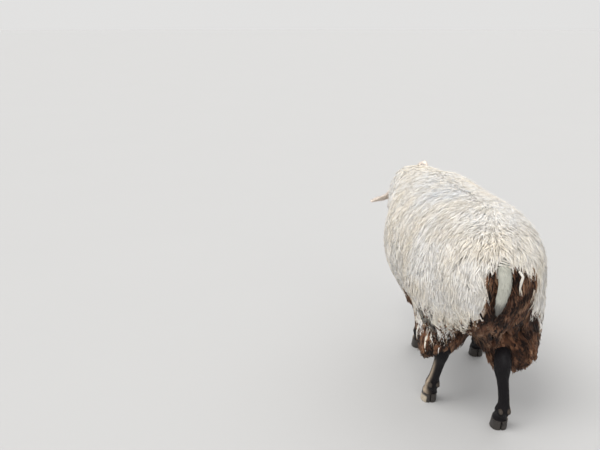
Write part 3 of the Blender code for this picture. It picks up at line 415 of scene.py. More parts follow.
def smooth_rows(rows, places):
    """The rows of a table, keyed by their first column, on smooth curves through them at other keys."""
    table = np.array(rows, float)
    keys = table[:, 0]
    gaps = np.diff(keys)
    slopes = np.diff(table, axis=0) / gaps[:, None]
    tangents = np.vstack([slopes[:1], (slopes[1:] + slopes[:-1]) / 2, slopes[-1:]])
    tangents[1:-1][slopes[1:] * slopes[:-1] <= 0] = 0
    index = np.clip(np.searchsorted(keys, places, side="right") - 1, 0, len(keys) - 2)
    step = gaps[index][:, None]
    t = ((np.asarray(places) - keys[index]) / gaps[index])[:, None]
    return (table[index] * (2 * t**3 - 3 * t**2 + 1) + table[index + 1] * (3 * t**2 - 2 * t**3)
            + tangents[index] * step * (t**3 - 2 * t**2 + t) + tangents[index + 1] * step * (t**3 - t**2))


def run_lengths(points):
    """How far along a line each of its points is."""
    steps = np.linalg.norm(np.diff(np.array(points, float), axis=0), axis=1)
    return np.concatenate([[0], np.cumsum(steps)])


def smooth_line(points, shares):
    """Places at shares of the way along a smooth line through some points."""
    lengths = run_lengths(points)
    rows = np.column_stack([lengths / lengths[-1], np.array(points, float)])
    return smooth_rows(rows, shares)[:, 1:]


def unit(vectors):
    """Vectors of length 1."""
    return vectors / np.maximum(np.linalg.norm(vectors, axis=-1, keepdims=True), 1e-9)


def dot(a, b):
    """Products of vectors, in a column."""
    return (a * b).sum(axis=-1, keepdims=True)


def gap_to(points, line):
    """How far places are from the nearest point of a line."""
    return np.linalg.norm(points[:, None] - line[None], axis=2).min(axis=1)


def ease(low, high, x):
    """Smoothly from 0 at low to 1 at high."""
    t = np.clip((x - low) / (high - low), 0, 1)
    return t * t * (3 - 2 * t)


def ripple(points, size, seed):
    """Soft irregular waves over space, from about -1 to 1, with patches of about a size."""
    draw = np.random.default_rng(seed)
    total = np.zeros(len(points))
    for _ in range(7):
        way = draw.normal(size=3)
        way *= draw.uniform(0.6, 1.5) * math.pi / size / np.linalg.norm(way)
        total += np.sin(points @ way + draw.uniform(0, 2 * math.pi))
    return total / 3.0


def ring_angles(count):
    """Angles of points that are spaced evenly around a ring."""
    return np.arange(count) * 2 * math.pi / count


def ovals(centres, sides, ups, half_widths, half_heights, count):
    """Rings of points around ovals, one for each centre."""
    angles = ring_angles(count)[None, :, None]
    across = np.cos(angles) * half_widths[:, None, None] * sides[:, None]
    return centres[:, None] + across + np.sin(angles) * half_heights[:, None, None] * ups[:, None]


def ring_normals(rings):
    """Outward directions at the points of a body given by rings."""
    along = np.gradient(rings, axis=0)
    around = np.roll(rings, -1, axis=1) - np.roll(rings, 1, axis=1)
    normals = unit(np.cross(around, along))
    outward = (normals * (rings - rings.mean(axis=1, keepdims=True))).sum()
    return normals if outward > 0 else -normals


def shell(rings, first=None, last=None):
    """A closed body through rings: its points, four-sided faces and the fans that close its ends."""
    count, sides = rings.shape[:2]
    first = rings[0].mean(axis=0) if first is None else np.array(first)
    last = rings[-1].mean(axis=0) if last is None else np.array(last)
    points = np.vstack([rings.reshape(-1, 3), first, last])
    r, k = np.meshgrid(np.arange(count - 1), np.arange(sides), indexing="ij")
    a, b = r * sides + k, r * sides + (k + 1) % sides
    quads = np.stack([a, b, b + sides, a + sides], axis=-1).reshape(-1, 4)
    k = np.arange(sides)
    ahead = (k + 1) % sides
    start, end, tail = count * sides, count * sides + 1, (count - 1) * sides
    fans = np.vstack([np.column_stack([np.full(sides, start), ahead, k]),
                      np.column_stack([np.full(sides, end), tail + k, tail + ahead])])
    return points, quads, fans


def merge(shells):
    """Several closed bodies as one set of points and faces."""
    points, quads, fans, base = [], [], [], 0
    for p, q, f in shells:
        points.append(p)
        quads.append(q + base)
        fans.append(f + base)
        base += len(p)
    return np.vstack(points), np.vstack(quads), np.vstack(fans)


def mesh_object(name, points, *faces):
    """An object from points and from groups of faces with as many corners each."""
    mesh = bpy.data.meshes.new(name)
    corners = np.concatenate([group.ravel() for group in faces]).astype(np.int32)
    sizes = np.concatenate([np.full(len(group), group.shape[1]) for group in faces])
    starts = (np.cumsum(sizes) - sizes).astype(np.int32)
    mesh.vertices.add(len(points))
    mesh.vertices.foreach_set("co", np.asarray(points, np.float32).ravel())
    mesh.loops.add(len(corners))
    mesh.loops.foreach_set("vertex_index", corners)
    mesh.polygons.add(len(starts))
    mesh.polygons.foreach_set("loop_start", starts)
    mesh.update(calc_edges=True)
    mesh.shade_smooth()
    made = bpy.data.objects.new(name, mesh)
    bpy.context.scene.collection.objects.link(made)
    made.location = STANDS_AT
    return made


def face_out(made):
    """All faces of closed bodies look outwards."""
    cage = bmesh.new()
    cage.from_mesh(made.data)
    bmesh.ops.recalc_face_normals(cage, faces=cage.faces)
    cage.to_mesh(made.data)
    cage.free()
    return made


def apply_modifiers(made):
    """Turns an object's modifiers into its mesh."""
    graph = bpy.context.evaluated_depsgraph_get()
    mesh = bpy.data.meshes.new_from_object(made.evaluated_get(graph))
    made.modifiers.clear()
    old = made.data
    made.data = mesh
    bpy.data.meshes.remove(old)
    mesh.shade_smooth()
    return made


def remesh(made, voxel, rounds):
    """The outer surface of bodies that cross, as one smooth closed surface."""
    remesher = made.modifiers.new("remesh", "REMESH")
    remesher.mode = "VOXEL"
    remesher.voxel_size = voxel
    smoother = made.modifiers.new("smooth", "SMOOTH")
    smoother.factor = 0.5
    smoother.iterations = rounds
    return apply_modifiers(made)


def cut(made, cutters):
    """Takes closed bodies away from a body and removes them."""
    group = bpy.data.collections.new("cutters")
    bpy.context.scene.collection.children.link(group)
    for cutter in cutters:
        bpy.context.scene.collection.objects.unlink(cutter)
        group.objects.link(cutter)
    boolean = made.modifiers.new("cut", "BOOLEAN")
    boolean.operation = "DIFFERENCE"
    boolean.operand_type = "COLLECTION"
    boolean.collection = group
    boolean.solver = "MANIFOLD"
    bpy.context.view_layer.update()
    apply_modifiers(made)
    for cutter in cutters:
        bpy.data.objects.remove(cutter)
    bpy.data.collections.remove(group)
    return made


def vertex_places(made):
    """Places of the vertices, in the object's own frame."""
    places = np.empty(len(made.data.vertices) * 3, np.float32)
    made.data.vertices.foreach_get("co", places)
    return places.reshape(-1, 3).astype(float)


def vertex_normals(made):
    """Which way the surface faces at the vertices."""
    normals = np.empty(len(made.data.vertices) * 3, np.float32)
    made.data.vertex_normals.foreach_get("vector", normals)
    return normals.reshape(-1, 3).astype(float)


def set_colour(made, name, values):
    """Four numbers for each vertex, which a material reads by their name."""
    layer = made.data.attributes.new(name, "FLOAT_COLOR", "POINT")
    layer.data.foreach_set("color", np.asarray(values, np.float32).ravel())


def set_vector(made, name, values):
    """Three numbers for each vertex, which a material reads by their name."""
    layer = made.data.attributes.new(name, "FLOAT_VECTOR", "POINT")
    layer.data.foreach_set("vector", np.asarray(values, np.float32).ravel())


# Body


def coat_depth(x, upness):
    """How deep the fleece of trunk and neck is where the skin faces up by upness, from -1 to 1."""
    up, down = np.maximum(upness, 0) ** 2, np.maximum(-upness, 0) ** 2
    depth = COAT_FLANK + (COAT_BACK - COAT_FLANK) * up + (COAT_BELLY - COAT_FLANK) * down
    to_head = np.clip((x - NAPE_FROM_X) / (NAPE_TO_X - NAPE_FROM_X), 0, 1)
    return depth + (COAT_NAPE - depth) * to_head


def spine_y(x):
    """How far to the left the middle of the trunk is at places along it."""
    return np.interp(x, [row[0] for row in TRUNK], [row[5] for row in TRUNK])


def outward(leg):
    """The way to a leg's outer side: 1 on the left and -1 on the right."""
    return 1 if leg.endswith("left") else -1


def trunk(share):
    """Trunk and neck out to a share of the depth of their fleece."""
    count, sides = TRUNK_GRID
    turn = np.linspace(0, math.pi, count)
    rows = smooth_rows(TRUNK, TRUNK[0][0] + (TRUNK[-1][0] - TRUNK[0][0]) * (0.5 - 0.5 * np.cos(turn)))
    tilt = np.radians(rows[:, 2])
    ups = np.column_stack([-np.sin(tilt), np.zeros(count), np.cos(tilt)])
    centres = rows[:, [0, 5, 1]]
    rings = ovals(centres, np.tile((0, 1, 0), (count, 1)), ups, rows[:, 4], rows[:, 3], sides)
    normals = ring_normals(rings)
    grow = share * coat_depth(rings[..., 0], normals[..., 2])
    if share < 1:
        grow = grow * (1 - NAPE_SKIN_LOWER * ease(*NAPE_SKIN_X, rings[..., 0]))
        grow = grow * (1 - NAPE_END_LOWER * ease(*NAPE_END_X, rings[..., 0]))
    first = rings[0].mean(axis=0) - np.array((share * COAT_FLANK, 0, 0))
    last = rings[-1].mean(axis=0) + np.array((COAT_NAPE if share == 1 else NAPE_END_BULGE, 0, 0))
    return shell(rings + normals * grow[..., None], first, last)


def frames_along(line):
    """Side and fore directions for rings that stand square to a line that runs mostly down."""
    tangents = unit(np.gradient(line, axis=0))
    fore = unit(np.cross(tangents, (0, 1, 0)))
    return np.cross(fore, tangents), fore


def upper_leg(leg, share):
    """The ham or the forearm of a leg, out to a share of the depth of its wool."""
    hind = leg.startswith("hind")
    shares = np.linspace(0, HAM_ENDS.get(leg, 1), UPPER_GRID[0])
    line = smooth_line(LEGS[leg][:3], shares)
    sizes = smooth_rows(HAM if hind else FOREARM, shares)
    side, fore = frames_along(line)
    top, low = (COAT_HAM, COAT_HOCK) if hind else (COAT_FOREARM, COAT_KNEE)
    coat = share * (top + (low - top) * shares)
    width = sizes[:, 2] + coat
    if hind:
        places, outer, inner = np.array(HAM_REACH[leg]).T
        outer, inner = (share * np.interp(shares, places, reach) for reach in (outer, inner))
        line = line + side * (outward(leg) * (outer - inner) / 2)[:, None]
        width = width + (outer + inner) / 2
    return shell(ovals(line, side, fore, width, sizes[:, 1] + coat, UPPER_GRID[1]))


def shank_rings(leg):
    """Rings of a lower leg, from above hock or knee down to the coronet; they start at its outer side."""
    rows = HOCK_TO_FOOT if leg.startswith("hind") else KNEE_TO_FOOT
    upper, joint, fetlock, coronet = (Vector(p) for p in LEGS[leg][1:5])
    points = [joint + (upper - joint) * SHANK_INTO_WOOL, joint, fetlock, coronet]
    lengths = run_lengths(points)
    keyed = np.column_stack([(lengths - lengths[1]) / (lengths[-1] - lengths[1]), np.array(points)])
    shares = np.linspace(keyed[0, 0], 1, SHANK_GRID[0])
    line = smooth_rows(keyed, shares)[:, 1:]
    sizes = smooth_rows(rows, shares)
    side, fore = frames_along(line)
    fore[-1] = (math.cos(CORONET_SLOPE), 0, math.sin(CORONET_SLOPE))
    side[-1] = (0, 1, 0)
    centres = line - fore * sizes[:, 3:4]
    return ovals(centres, side * outward(leg), fore, sizes[:, 2], sizes[:, 1], SHANK_GRID[1])


def dewclaw(leg, way):
    """One of the two small claws behind a fetlock."""
    mirror = np.array((1, way, 1))
    root = np.array(LEGS[leg][3]) + DEWCLAW_ROOT * mirror
    points = unit(DEWCLAW_POINTS * mirror)
    across = unit(np.cross(points, (0, 1, 0)))
    other = np.cross(points, across)
    shares, sizes = np.array(DEWCLAW).T
    centres = root + points * DEWCLAW_LENGTH * shares[:, None]
    rings = ovals(centres, np.tile(across, (len(shares), 1)), np.tile(other, (len(shares), 1)),
                  DEWCLAW_RADIUS * sizes * DEWCLAW_FLAT, DEWCLAW_RADIUS * sizes, DEWCLAW_SIDES)
    return shell(rings, last=root + points * DEWCLAW_LENGTH * DEWCLAW_TIP)


def claw(leg, way):
    """One half of a hoof: flat sole, sloping wall, straight inner side towards the cleft."""
    coronet, foot = Vector(LEGS[leg][4]), Vector(LEGS[leg][5])
    turns = np.linspace(0, math.pi, CLAW_CORNERS)
    rings = []
    for share in CLAW_LEVELS:
        length = CLAW_SOLE[0] + (CLAW_TOP[0] - CLAW_SOLE[0]) * share
        width = CLAW_SOLE[1] + (CLAW_TOP[1] - CLAW_SOLE[1]) * share
        worn = max(0.0, 1 - share / CLAW_WEAR_UP_TO)
        length, width = length - CLAW_EDGE[0] * worn, width - CLAW_EDGE[1] * worn
        slope = math.tan(CORONET_SLOPE) * max(0.0, (share - 0.5) * 2)
        bulge = CLAW_END_WIDTH + (1 - CLAW_END_WIDTH) * np.sin(turns).clip(0) ** 0.8
        x = np.concatenate([np.cos(turns) * length / 2, np.linspace(-0.46, 0.46, CLAW_INNER) * length])
        y = np.concatenate([width * bulge, np.zeros(CLAW_INNER)])
        middle = foot.lerp(coronet, share)
        rings.append(np.column_stack([middle.x + x, middle.y + way * (CLEFT / 2 + y), middle.z + x * slope]))
    return shell(np.array(rings))


def tail_rings():
    """Rings of the tail under its hair."""
    shares = np.linspace(0, 1, TAIL_GRID[0])
    line = smooth_line(TAIL_LINE, shares)
    sizes = smooth_rows(TAIL_SIZE, shares)
    side, fore = frames_along(line)
    return ovals(line, side, fore, sizes[:, 1] * TAIL_SKIN, sizes[:, 2] * TAIL_SKIN, TAIL_GRID[1])


# Head


def head_axes():
    """Directions of the head's own frame: along it to the muzzle, to its left side, and up from it."""
    turn = (Matrix.Rotation(HEAD_YAW, 3, "Z") @ Matrix.Rotation(HEAD_PITCH, 3, "Y")
            @ Matrix.Rotation(HEAD_ROLL, 3, "X"))
    return turn.col[0].copy(), turn.col[1].copy(), turn.col[2].copy()


def in_head(along, out, up, side=1):
    """A place given in the head's own frame; side is 1 on its left and -1 on its right."""
    a, s, u = head_axes()
    return HEAD_AT + a * along + s * out * side + u * up


def head_way(along, out, up, side=1):
    """A direction given in the head's own frame."""
    a, s, u = head_axes()
    return (a * along + s * out * side + u * up).normalized()


def to_head(points):
    """Places in the head's own frame: along, to the left, up."""
    return (points - np.array(HEAD_AT)) @ np.array(head_axes()).T


def head_rings(share):
    """Rings of the head, out to a share of the depth of its wool, with the soft forms of the face."""
    count, sides = HEAD_GRID
    places = HEAD[0][0] + (HEAD[-1][0] - HEAD[0][0]) * (0.5 - 0.5 * np.cos(np.linspace(0, math.pi, count)))
    rows = smooth_rows(HEAD, places)
    sine, cosine = np.sin(ring_angles(sides))[None], np.cos(ring_angles(sides))[None]
    top, bottom, half, pinch, coat = (rows[:, k][:, None] for k in range(1, 6))
    out = (half * (1 - pinch * sine) + coat * share) * cosine
    up = (np.where(sine > 0, top, bottom) + coat * share) * sine
    local = np.stack([np.broadcast_to(places[:, None], out.shape), out, up], axis=-1)
    normals = ring_normals(local)
    for along, side, rise, wide, high in FACE_FORMS:
        for way in (-1, 1):
            away = np.linalg.norm(local - np.array((along, side * way, rise)), axis=-1)
            local = local + normals * (high * np.exp(-(away / wide) ** 2))[..., None]
    return np.array(HEAD_AT) + local @ np.array(head_axes())


def eye_axes(side):
    """Which way an eye looks, the length of its slit and the height of its opening."""
    looks = head_way(*EYE_LOOKS, side)
    along, _, _ = head_axes()
    slit = (along - looks * along.dot(looks)).normalized()
    slit.rotate(Matrix.Rotation(-side * EYE_TILT, 3, looks))
    return looks, slit, looks.cross(slit)


def ball(centre, axes, sides, rows):
    """A rounded body with three half axes; its poles lie on the last of them."""
    a, b, c = (np.array(axis) for axis in axes)
    centre = np.array(centre)
    turn = (np.pi * np.arange(1, rows) / rows)[:, None, None]
    angles = ring_angles(sides)[None, :, None]
    rings = centre + (np.cos(angles) * a + np.sin(angles) * b) * np.sin(turn) + c * np.cos(turn)
    return shell(rings, centre + c, centre - c)


def lids(side):
    """The raised lids around an eye, still closed."""
    looks, slit, rise = eye_axes(side)
    axes = [slit * LID_RADII[0], rise * LID_RADII[1], looks * LID_RADII[2]]
    return ball(in_head(*EYE_PLACE, side), axes, 40, 24)


def eye_slit(side):
    """The almond opening between the lids, as a cutter that widens outwards."""
    looks, slit, rise = eye_axes(side)
    centre = in_head(*EYE_PLACE, side)
    angles = ring_angles(32)
    rings = []
    for away, wide in ((0.30, 0.80), (1.60, 1.20)):
        x = np.cos(angles) * LID_OPENING[0] * wide
        y = np.sin(angles) * np.abs(np.sin(angles)) ** 0.3 * LID_OPENING[1] * wide
        rings.append(np.array(centre + looks * EYE_RADIUS * away) + x[:, None] * np.array(slit)
                     + y[:, None] * np.array(rise))
    return shell(np.array(rings))


def eye_socket(side):
    """The room for an eyeball, as a cutter."""
    looks, slit, rise = eye_axes(side)
    radius = EYE_RADIUS + SOCKET_ROOM
    return ball(in_head(*EYE_PLACE, side), [slit * radius, rise * radius, looks * radius], 32, 20)


def head_point(place, angle):
    """A point on the head's section at a distance along it and an angle up from the side."""
    _, top, bottom, half, pinch, _ = smooth_rows(HEAD, [place])[0]
    out = half * (1 - pinch * math.sin(angle)) * math.cos(angle)
    up = (top if math.sin(angle) > 0 else bottom) * math.sin(angle)
    return in_head(place, out, up)


def mouth_groove():
    """The line between the lips, from one corner around the muzzle to the other."""
    left = [head_point(place, math.radians(angle)) for place, angle in MOUTH]
    right = [head_point(place, math.pi - math.radians(angle)) for place, angle in MOUTH]
    corners = left + [in_head(MOUTH_FRONT[0], 0, MOUTH_FRONT[1])] + right[::-1]
    line = smooth_line(corners, np.linspace(0, 1, 41))
    along, out, up = (np.array(axis) for axis in head_axes())
    middle = np.array(HEAD_AT) + along * 0.165
    away = line - middle
    outs = unit(away - dot(away, up) * up)
    thin = np.ones(len(line))[:, None]
    thin[0] = thin[-1] = 0.4
    rise = up * GROOVE_HALF * thin
    outs = outs * thin
    rings = np.stack([line - outs * GROOVE_DEPTH, line + rise, line + rise + outs * GROOVE_DEPTH * 3,
                      line - rise + outs * GROOVE_DEPTH * 3, line - rise], axis=1)
    return shell(rings)


def nostril(side):
    """A slanting nostril, as a cutter."""
    deep = head_way(-0.62, -0.62, 0.05, side)
    long = head_way(-0.38, 0.50, 0.78, side)
    long = (long - deep * long.dot(deep)).normalized()
    wide = deep.cross(long)
    a, b, c = NOSTRIL_RADII
    return ball(in_head(*NOSTRIL, side), [wide * a, long * b, deep * c], 24, 16)


def ear_frame(side):
    """Root of an ear, which way it points and opens, and the direction across it."""
    points = head_way(*EAR_POINTS[side], side)
    opens = head_way(*EAR_OPENS[side], side)
    opens = (opens - points * opens.dot(points)).normalized()
    return (np.array(v) for v in (in_head(*EAR_ROOT, side), points, opens, points.cross(opens)))


def ear_rings(side):
    """A cupped ear on a solid stem: rings, and where each point is along and across, inside or outside."""
    root, points, opens, across = ear_frame(side)
    steps = np.linspace(-1, 1, 2 * EAR_ACROSS + 1)
    inner = steps[::-1][1:-1]
    rings, marks = [], []
    for share, half, curve, hollow in smooth_rows(EAR, np.linspace(0, 1, EAR_RINGS)):
        centre = root + points * (EAR_LENGTH * share - EAR_SUNK) - opens * EAR_SAG * share**2
        back = centre + across * half * steps[:, None] - opens * (curve * (1 - steps**2))[:, None]
        full = curve * (1 - inner**2)
        cupped = EAR_WALL * (1 - 0.5 * inner**2) - full
        front = centre + across * half * inner[:, None] + opens * (full + (cupped - full) * hollow)[:, None]
        rings.append(np.vstack([back, front]))
        inside = np.append(0 * steps, hollow + 0 * inner)
        marks.append(np.column_stack([np.full(len(inside), share), np.append(steps, inner), inside]))
    return np.array(rings), np.array(marks)


# Markings


def brown_wool(points):
    """How brown the wool is that grows at some places, from 0 to 1: behind, under the tail and low down."""
    x, y, z = points.T
    rows = smooth_rows(BRITCH, np.clip(z, BRITCH[0][0], BRITCH[-1][0]))
    reach = np.where(y > BRITCH_MIDDLE_Y, rows[:, 1], rows[:, 2])
    edge = 0.008 * ripple(points, 0.03, 3)
    behind = ease(-0.010, 0.012, reach + edge - np.abs(y - BRITCH_MIDDLE_Y)) * ease(-0.26, -0.34, x + edge)
    behind = np.minimum(behind * 1.5, 1) * ease(0.480, 0.466, z)
    inside = ease(0.05, 0.02, np.abs(y - BRITCH_MIDDLE_Y)) * ease(0.34, 0.29, z) * ease(-0.12, -0.22, x)
    return np.maximum(behind, inside)


def brown_tips(points, roots, uneven=0.0):
    """How brown a lock is at a height: low on thighs, behind forearms and under the belly."""
    x, y = roots[..., 0], roots[..., 1]
    z = points[..., 2] + (TIPS_EDGE * ripple(roots.reshape(-1, 3), 0.028, 12)).reshape(x.shape)
    thigh = ease(*THIGH_TIPS[0], z + uneven) * ease(*THIGH_TIPS[1], x)
    from_leg = np.abs(y - np.where(y > 0, 0.075, -0.095))
    chest = ease(*CHEST_TIPS[0], z) * ease(*CHEST_TIPS[1], x) * ease(0.065, 0.045, from_leg)
    belly = ease(*BELLY_TIPS[0], z) * ease(*BELLY_TIPS[1], x) * ease(0.12, 0.05, x)
    return np.maximum.reduce([thigh, chest, belly])


def grey_and_shaded_wool(points, normals):
    """How grey the wool is on top of the back, in streaks and a patch left of the spine: partly the wool's
    own dirty grey tips, partly painted shade of the partings.
    """
    x, y = points[:, 0], points[:, 1]
    streaks = ripple(points * (1.0, 2.4, 1.0), 0.050, 8) + 0.6 * ripple(points * (1, 3, 1), 0.016, 9)
    patch = np.exp(-((y - spine_y(x) - 0.034) / 0.045) ** 2 - ((x + 0.15) / 0.14) ** 2)
    top = ease(0.30, 0.80, normals[:, 2])
    return np.clip(top * patch * (0.55 + 0.35 * streaks) + 0.05 * streaks * top, 0, 1)


# Locks


def tree_of(made):
    """A search tree over the surface of a body."""
    cage = bmesh.new()
    cage.from_mesh(made.data)
    tree = BVHTree.FromBMesh(cage)
    cage.free()
    return tree


def nearest(tree, points):
    """Nearest places on a body, and which way it faces there."""
    places, facing = np.empty_like(points), np.empty_like(points)
    for k, point in enumerate(points.tolist()):
        places[k], facing[k] = tree.find_nearest(point)[:2]
    return places, facing


def nearest_of(places, points):
    """For each point the number of the place that is nearest to it."""
    tree = KDTree(len(places))
    for k, place in enumerate(places):
        tree.insert(place, k)
    tree.balance()
    return np.array([tree.find(point)[1] for point in points])


def spread(made, spacing, draw, weight):
    """Places spread over a body about a spacing apart, and which way it faces there."""
    mesh = made.data
    mesh.calc_loop_triangles()
    corners = np.empty(len(mesh.loop_triangles) * 3, np.int32)
    mesh.loop_triangles.foreach_get("vertices", corners)
    corners = corners.reshape(-1, 3)
    points, normals = vertex_places(made), vertex_normals(made)
    a, b, c = (points[corners[:, k]] for k in range(3))
    middles = (a + b + c) / 3
    areas = np.linalg.norm(np.cross(b - a, c - a), axis=1) / 2
    areas = areas * weight(middles, unit(normals[corners].sum(axis=1)))
    count = int(areas.sum() / spacing**2)
    order = np.argsort(middles @ (1.0, 0.013, 0.0007))
    running = np.cumsum(areas[order])
    chosen = order[np.searchsorted(running, (np.arange(count) + draw.random(count)) / count * running[-1])]
    u, v = draw.random((2, count, 1))
    fold = u + v > 1
    u, v = np.where(fold, 1 - u, u), np.where(fold, 1 - v, v)
    first, second, third = corners[chosen].T

    def blend(values):
        return values[first] * (1 - u - v) + values[second] * u + values[third] * v

    return blend(points), unit(blend(normals))


def turned(vectors, axes, angles):
    """Vectors turned round axes that they are square to."""
    return vectors * np.cos(angles)[:, None] + np.cross(axes, vectors) * np.sin(angles)[:, None]


def laid(ways, normals):
    """Directions bent down onto a surface."""
    return unit(ways - normals * dot(ways, normals))


def body_lie(points, normals):
    """The lie of the wool: back and down, and outwards from the parting along the spine."""
    ways = np.array(LIE) + np.array(LIE_ON_BACK) * np.maximum(normals[:, 2:], 0)
    ways = ways + np.array(LIE_ON_LEGS) * (points[:, 2:] < HAM_BELOW_Z)
    ways[:, 1] *= np.tanh((points[:, 1] - spine_y(points[:, 0])) / PARTING_WIDTH)
    return laid(ways, normals)


def on_spine(points, normals):
    """How near places are to the parting along the spine, where locks cross."""
    away = (points[:, 1] - spine_y(points[:, 0])) / CROSSING_WIDTH
    return np.exp(-(away ** 2)) * ease(0.3, 0.7, normals[:, 2])


def body_styles(points, normals):
    """The kind of lock at each place, as a row of its sizes, blended from kind to kind."""
    x, y, z = points.T
    up = normals[:, 2]
    thigh = ease(HAM_BELOW_Z + 0.03, HAM_BELOW_Z - 0.05, z) * ease(HAM_BEFORE_X, HAM_BEFORE_X - 0.07, x)
    outer_front = ease(0.125, 0.150, y) * ease(0.300, 0.325, z) * ease(-0.40, -0.34, x)
    styles = np.tile(FLANK, (len(points), 1)).astype(float)
    for kind, share in ((BACK, ease(0.35, 0.85, up)),
                        (NECK, ease(0.14, 0.20, x)),
                        (BELLY, np.maximum(ease(0.0, -0.45, up), ease(0.30, 0.25, z))),
                        (HAM_WOOL, thigh * (1 - outer_front)),
                        (FOREARM_WOOL, ease(0.245, 0.225, z) * ease(-0.05, 0.0, x))):
        styles += (np.array(kind) - styles) * share[:, None]
    return styles


def between_hams(points):
    """How near places are to the gap between the hams, where the wool is short."""
    x, y, z = points.T
    return (ease(0.080, 0.050, np.abs(y - HAMS_PART_AT_Y)) * ease(-0.06, -0.12, x) * ease(0.34, 0.31, z)
            * ease(-0.44, -0.40, x))


def lengths_kept(roots):
    """Shares of its length that a lock keeps above the tail, between the hams and low on the right thigh."""
    x, y, z = roots.T
    above_tail = (ease(0.05, 0.03, np.abs(y - BRITCH_MIDDLE_Y)) * ease(0.46, 0.48, z)
                  * ease(-0.41, -0.44, x))
    low_right = ease(0.26, 0.20, z) * ease(-0.02, -0.05, y) * (x < -0.1)
    zones = (above_tail, between_hams(roots), low_right)
    return [1 - shorter * zone for shorter, zone in zip(LOCKS_SHORTER, zones)]


def walk(roots, normals, ways, styles, tree, guides=None):
    """Lines that run over a body from their roots, with the way it faces along them."""
    down = np.array((0.0, 0.0, -1.0))
    length, hang = styles[:, :1], styles[:, 3:4]
    below = ease(-0.15, -0.60, normals[:, 2:])
    at, out, done = roots, normals, 0.0
    lines, outs = [at], [out]
    for k, share in enumerate(LOCK_STEPS[1:], 1):
        fall = hang * np.maximum(share, below)
        pull = ways * (1 - fall) + down * fall
        ahead = unit(pull - out * dot(pull, out) * (1 - fall))
        there = at + ahead * length * (share - done)
        if guides is not None:
            there = there + (guides[:, k] - there) * styles[:, 6:7] * share
        near, facing = nearest(tree, there)
        loose = np.maximum(hang * np.minimum(1.0, share * 1.4), fall)
        at = near * (1 - loose) + there * loose
        out = unit(out * (0.4 + 0.6 * loose) + facing * 0.6 * (1 - loose))
        done = share
        lines.append(at)
        outs.append(out)
    return np.stack(lines, axis=1), np.stack(outs, axis=1)


def wavy(lines, outs, height, swing, wave, rolls):
    """Lines lifted off a body that swing from side to side and, by a share of that, in and out."""
    across = unit(np.cross(outs, unit(np.gradient(lines, axis=1))))
    lines = lines + outs * (height + rolls * swing * np.cos(wave))[..., None]
    return lines + across * (swing * np.sin(wave))[..., None]


def lock_sizes(profile, half_widths, half_thicks):
    """Half width and half thickness along locks that share a profile."""
    profile = np.array(profile)
    return half_widths * profile[None, :, 1], half_thicks * profile[None, :, 2]


def lock_faces(rings):
    """Faces of one closed lock, sides and then tip and root, and where their corners lie on its patch."""
    k, j = (g.ravel() for g in np.meshgrid(np.arange(rings - 1), np.arange(LOCK_SIDES), indexing="ij"))
    here, ahead = k * LOCK_SIDES, (k + 1) * LOCK_SIDES
    beside = (j + 1) % LOCK_SIDES
    quads = np.stack([here + j, here + beside, ahead + beside, ahead + j], axis=1)
    shares = np.arange(rings + 1) / rings
    quad_uv = np.stack([np.stack([j, j + 1, j + 1, j], 1) / LOCK_SIDES,
                        shares[np.stack([k, k, k + 1, k + 1], 1)]], axis=-1)
    j = np.arange(LOCK_SIDES)
    last = (rings - 1) * LOCK_SIDES
    ends = np.stack([last + j, last + (j + 1) % LOCK_SIDES, np.full(LOCK_SIDES, rings * LOCK_SIDES)], axis=1)
    tip_uv = np.stack([np.stack([j, j + 1, j + 0.5], 1) / LOCK_SIDES,
                       np.tile((shares[-2], shares[-2], 1.0), (LOCK_SIDES, 1))], axis=-1)
    root_uv = np.array([[[1.0, 0.0], [0.5, 0.0], [0.0, 0.0]]])
    return quads, np.vstack([ends, j[None, ::-1]]), quad_uv, np.concatenate([tip_uv, root_uv])


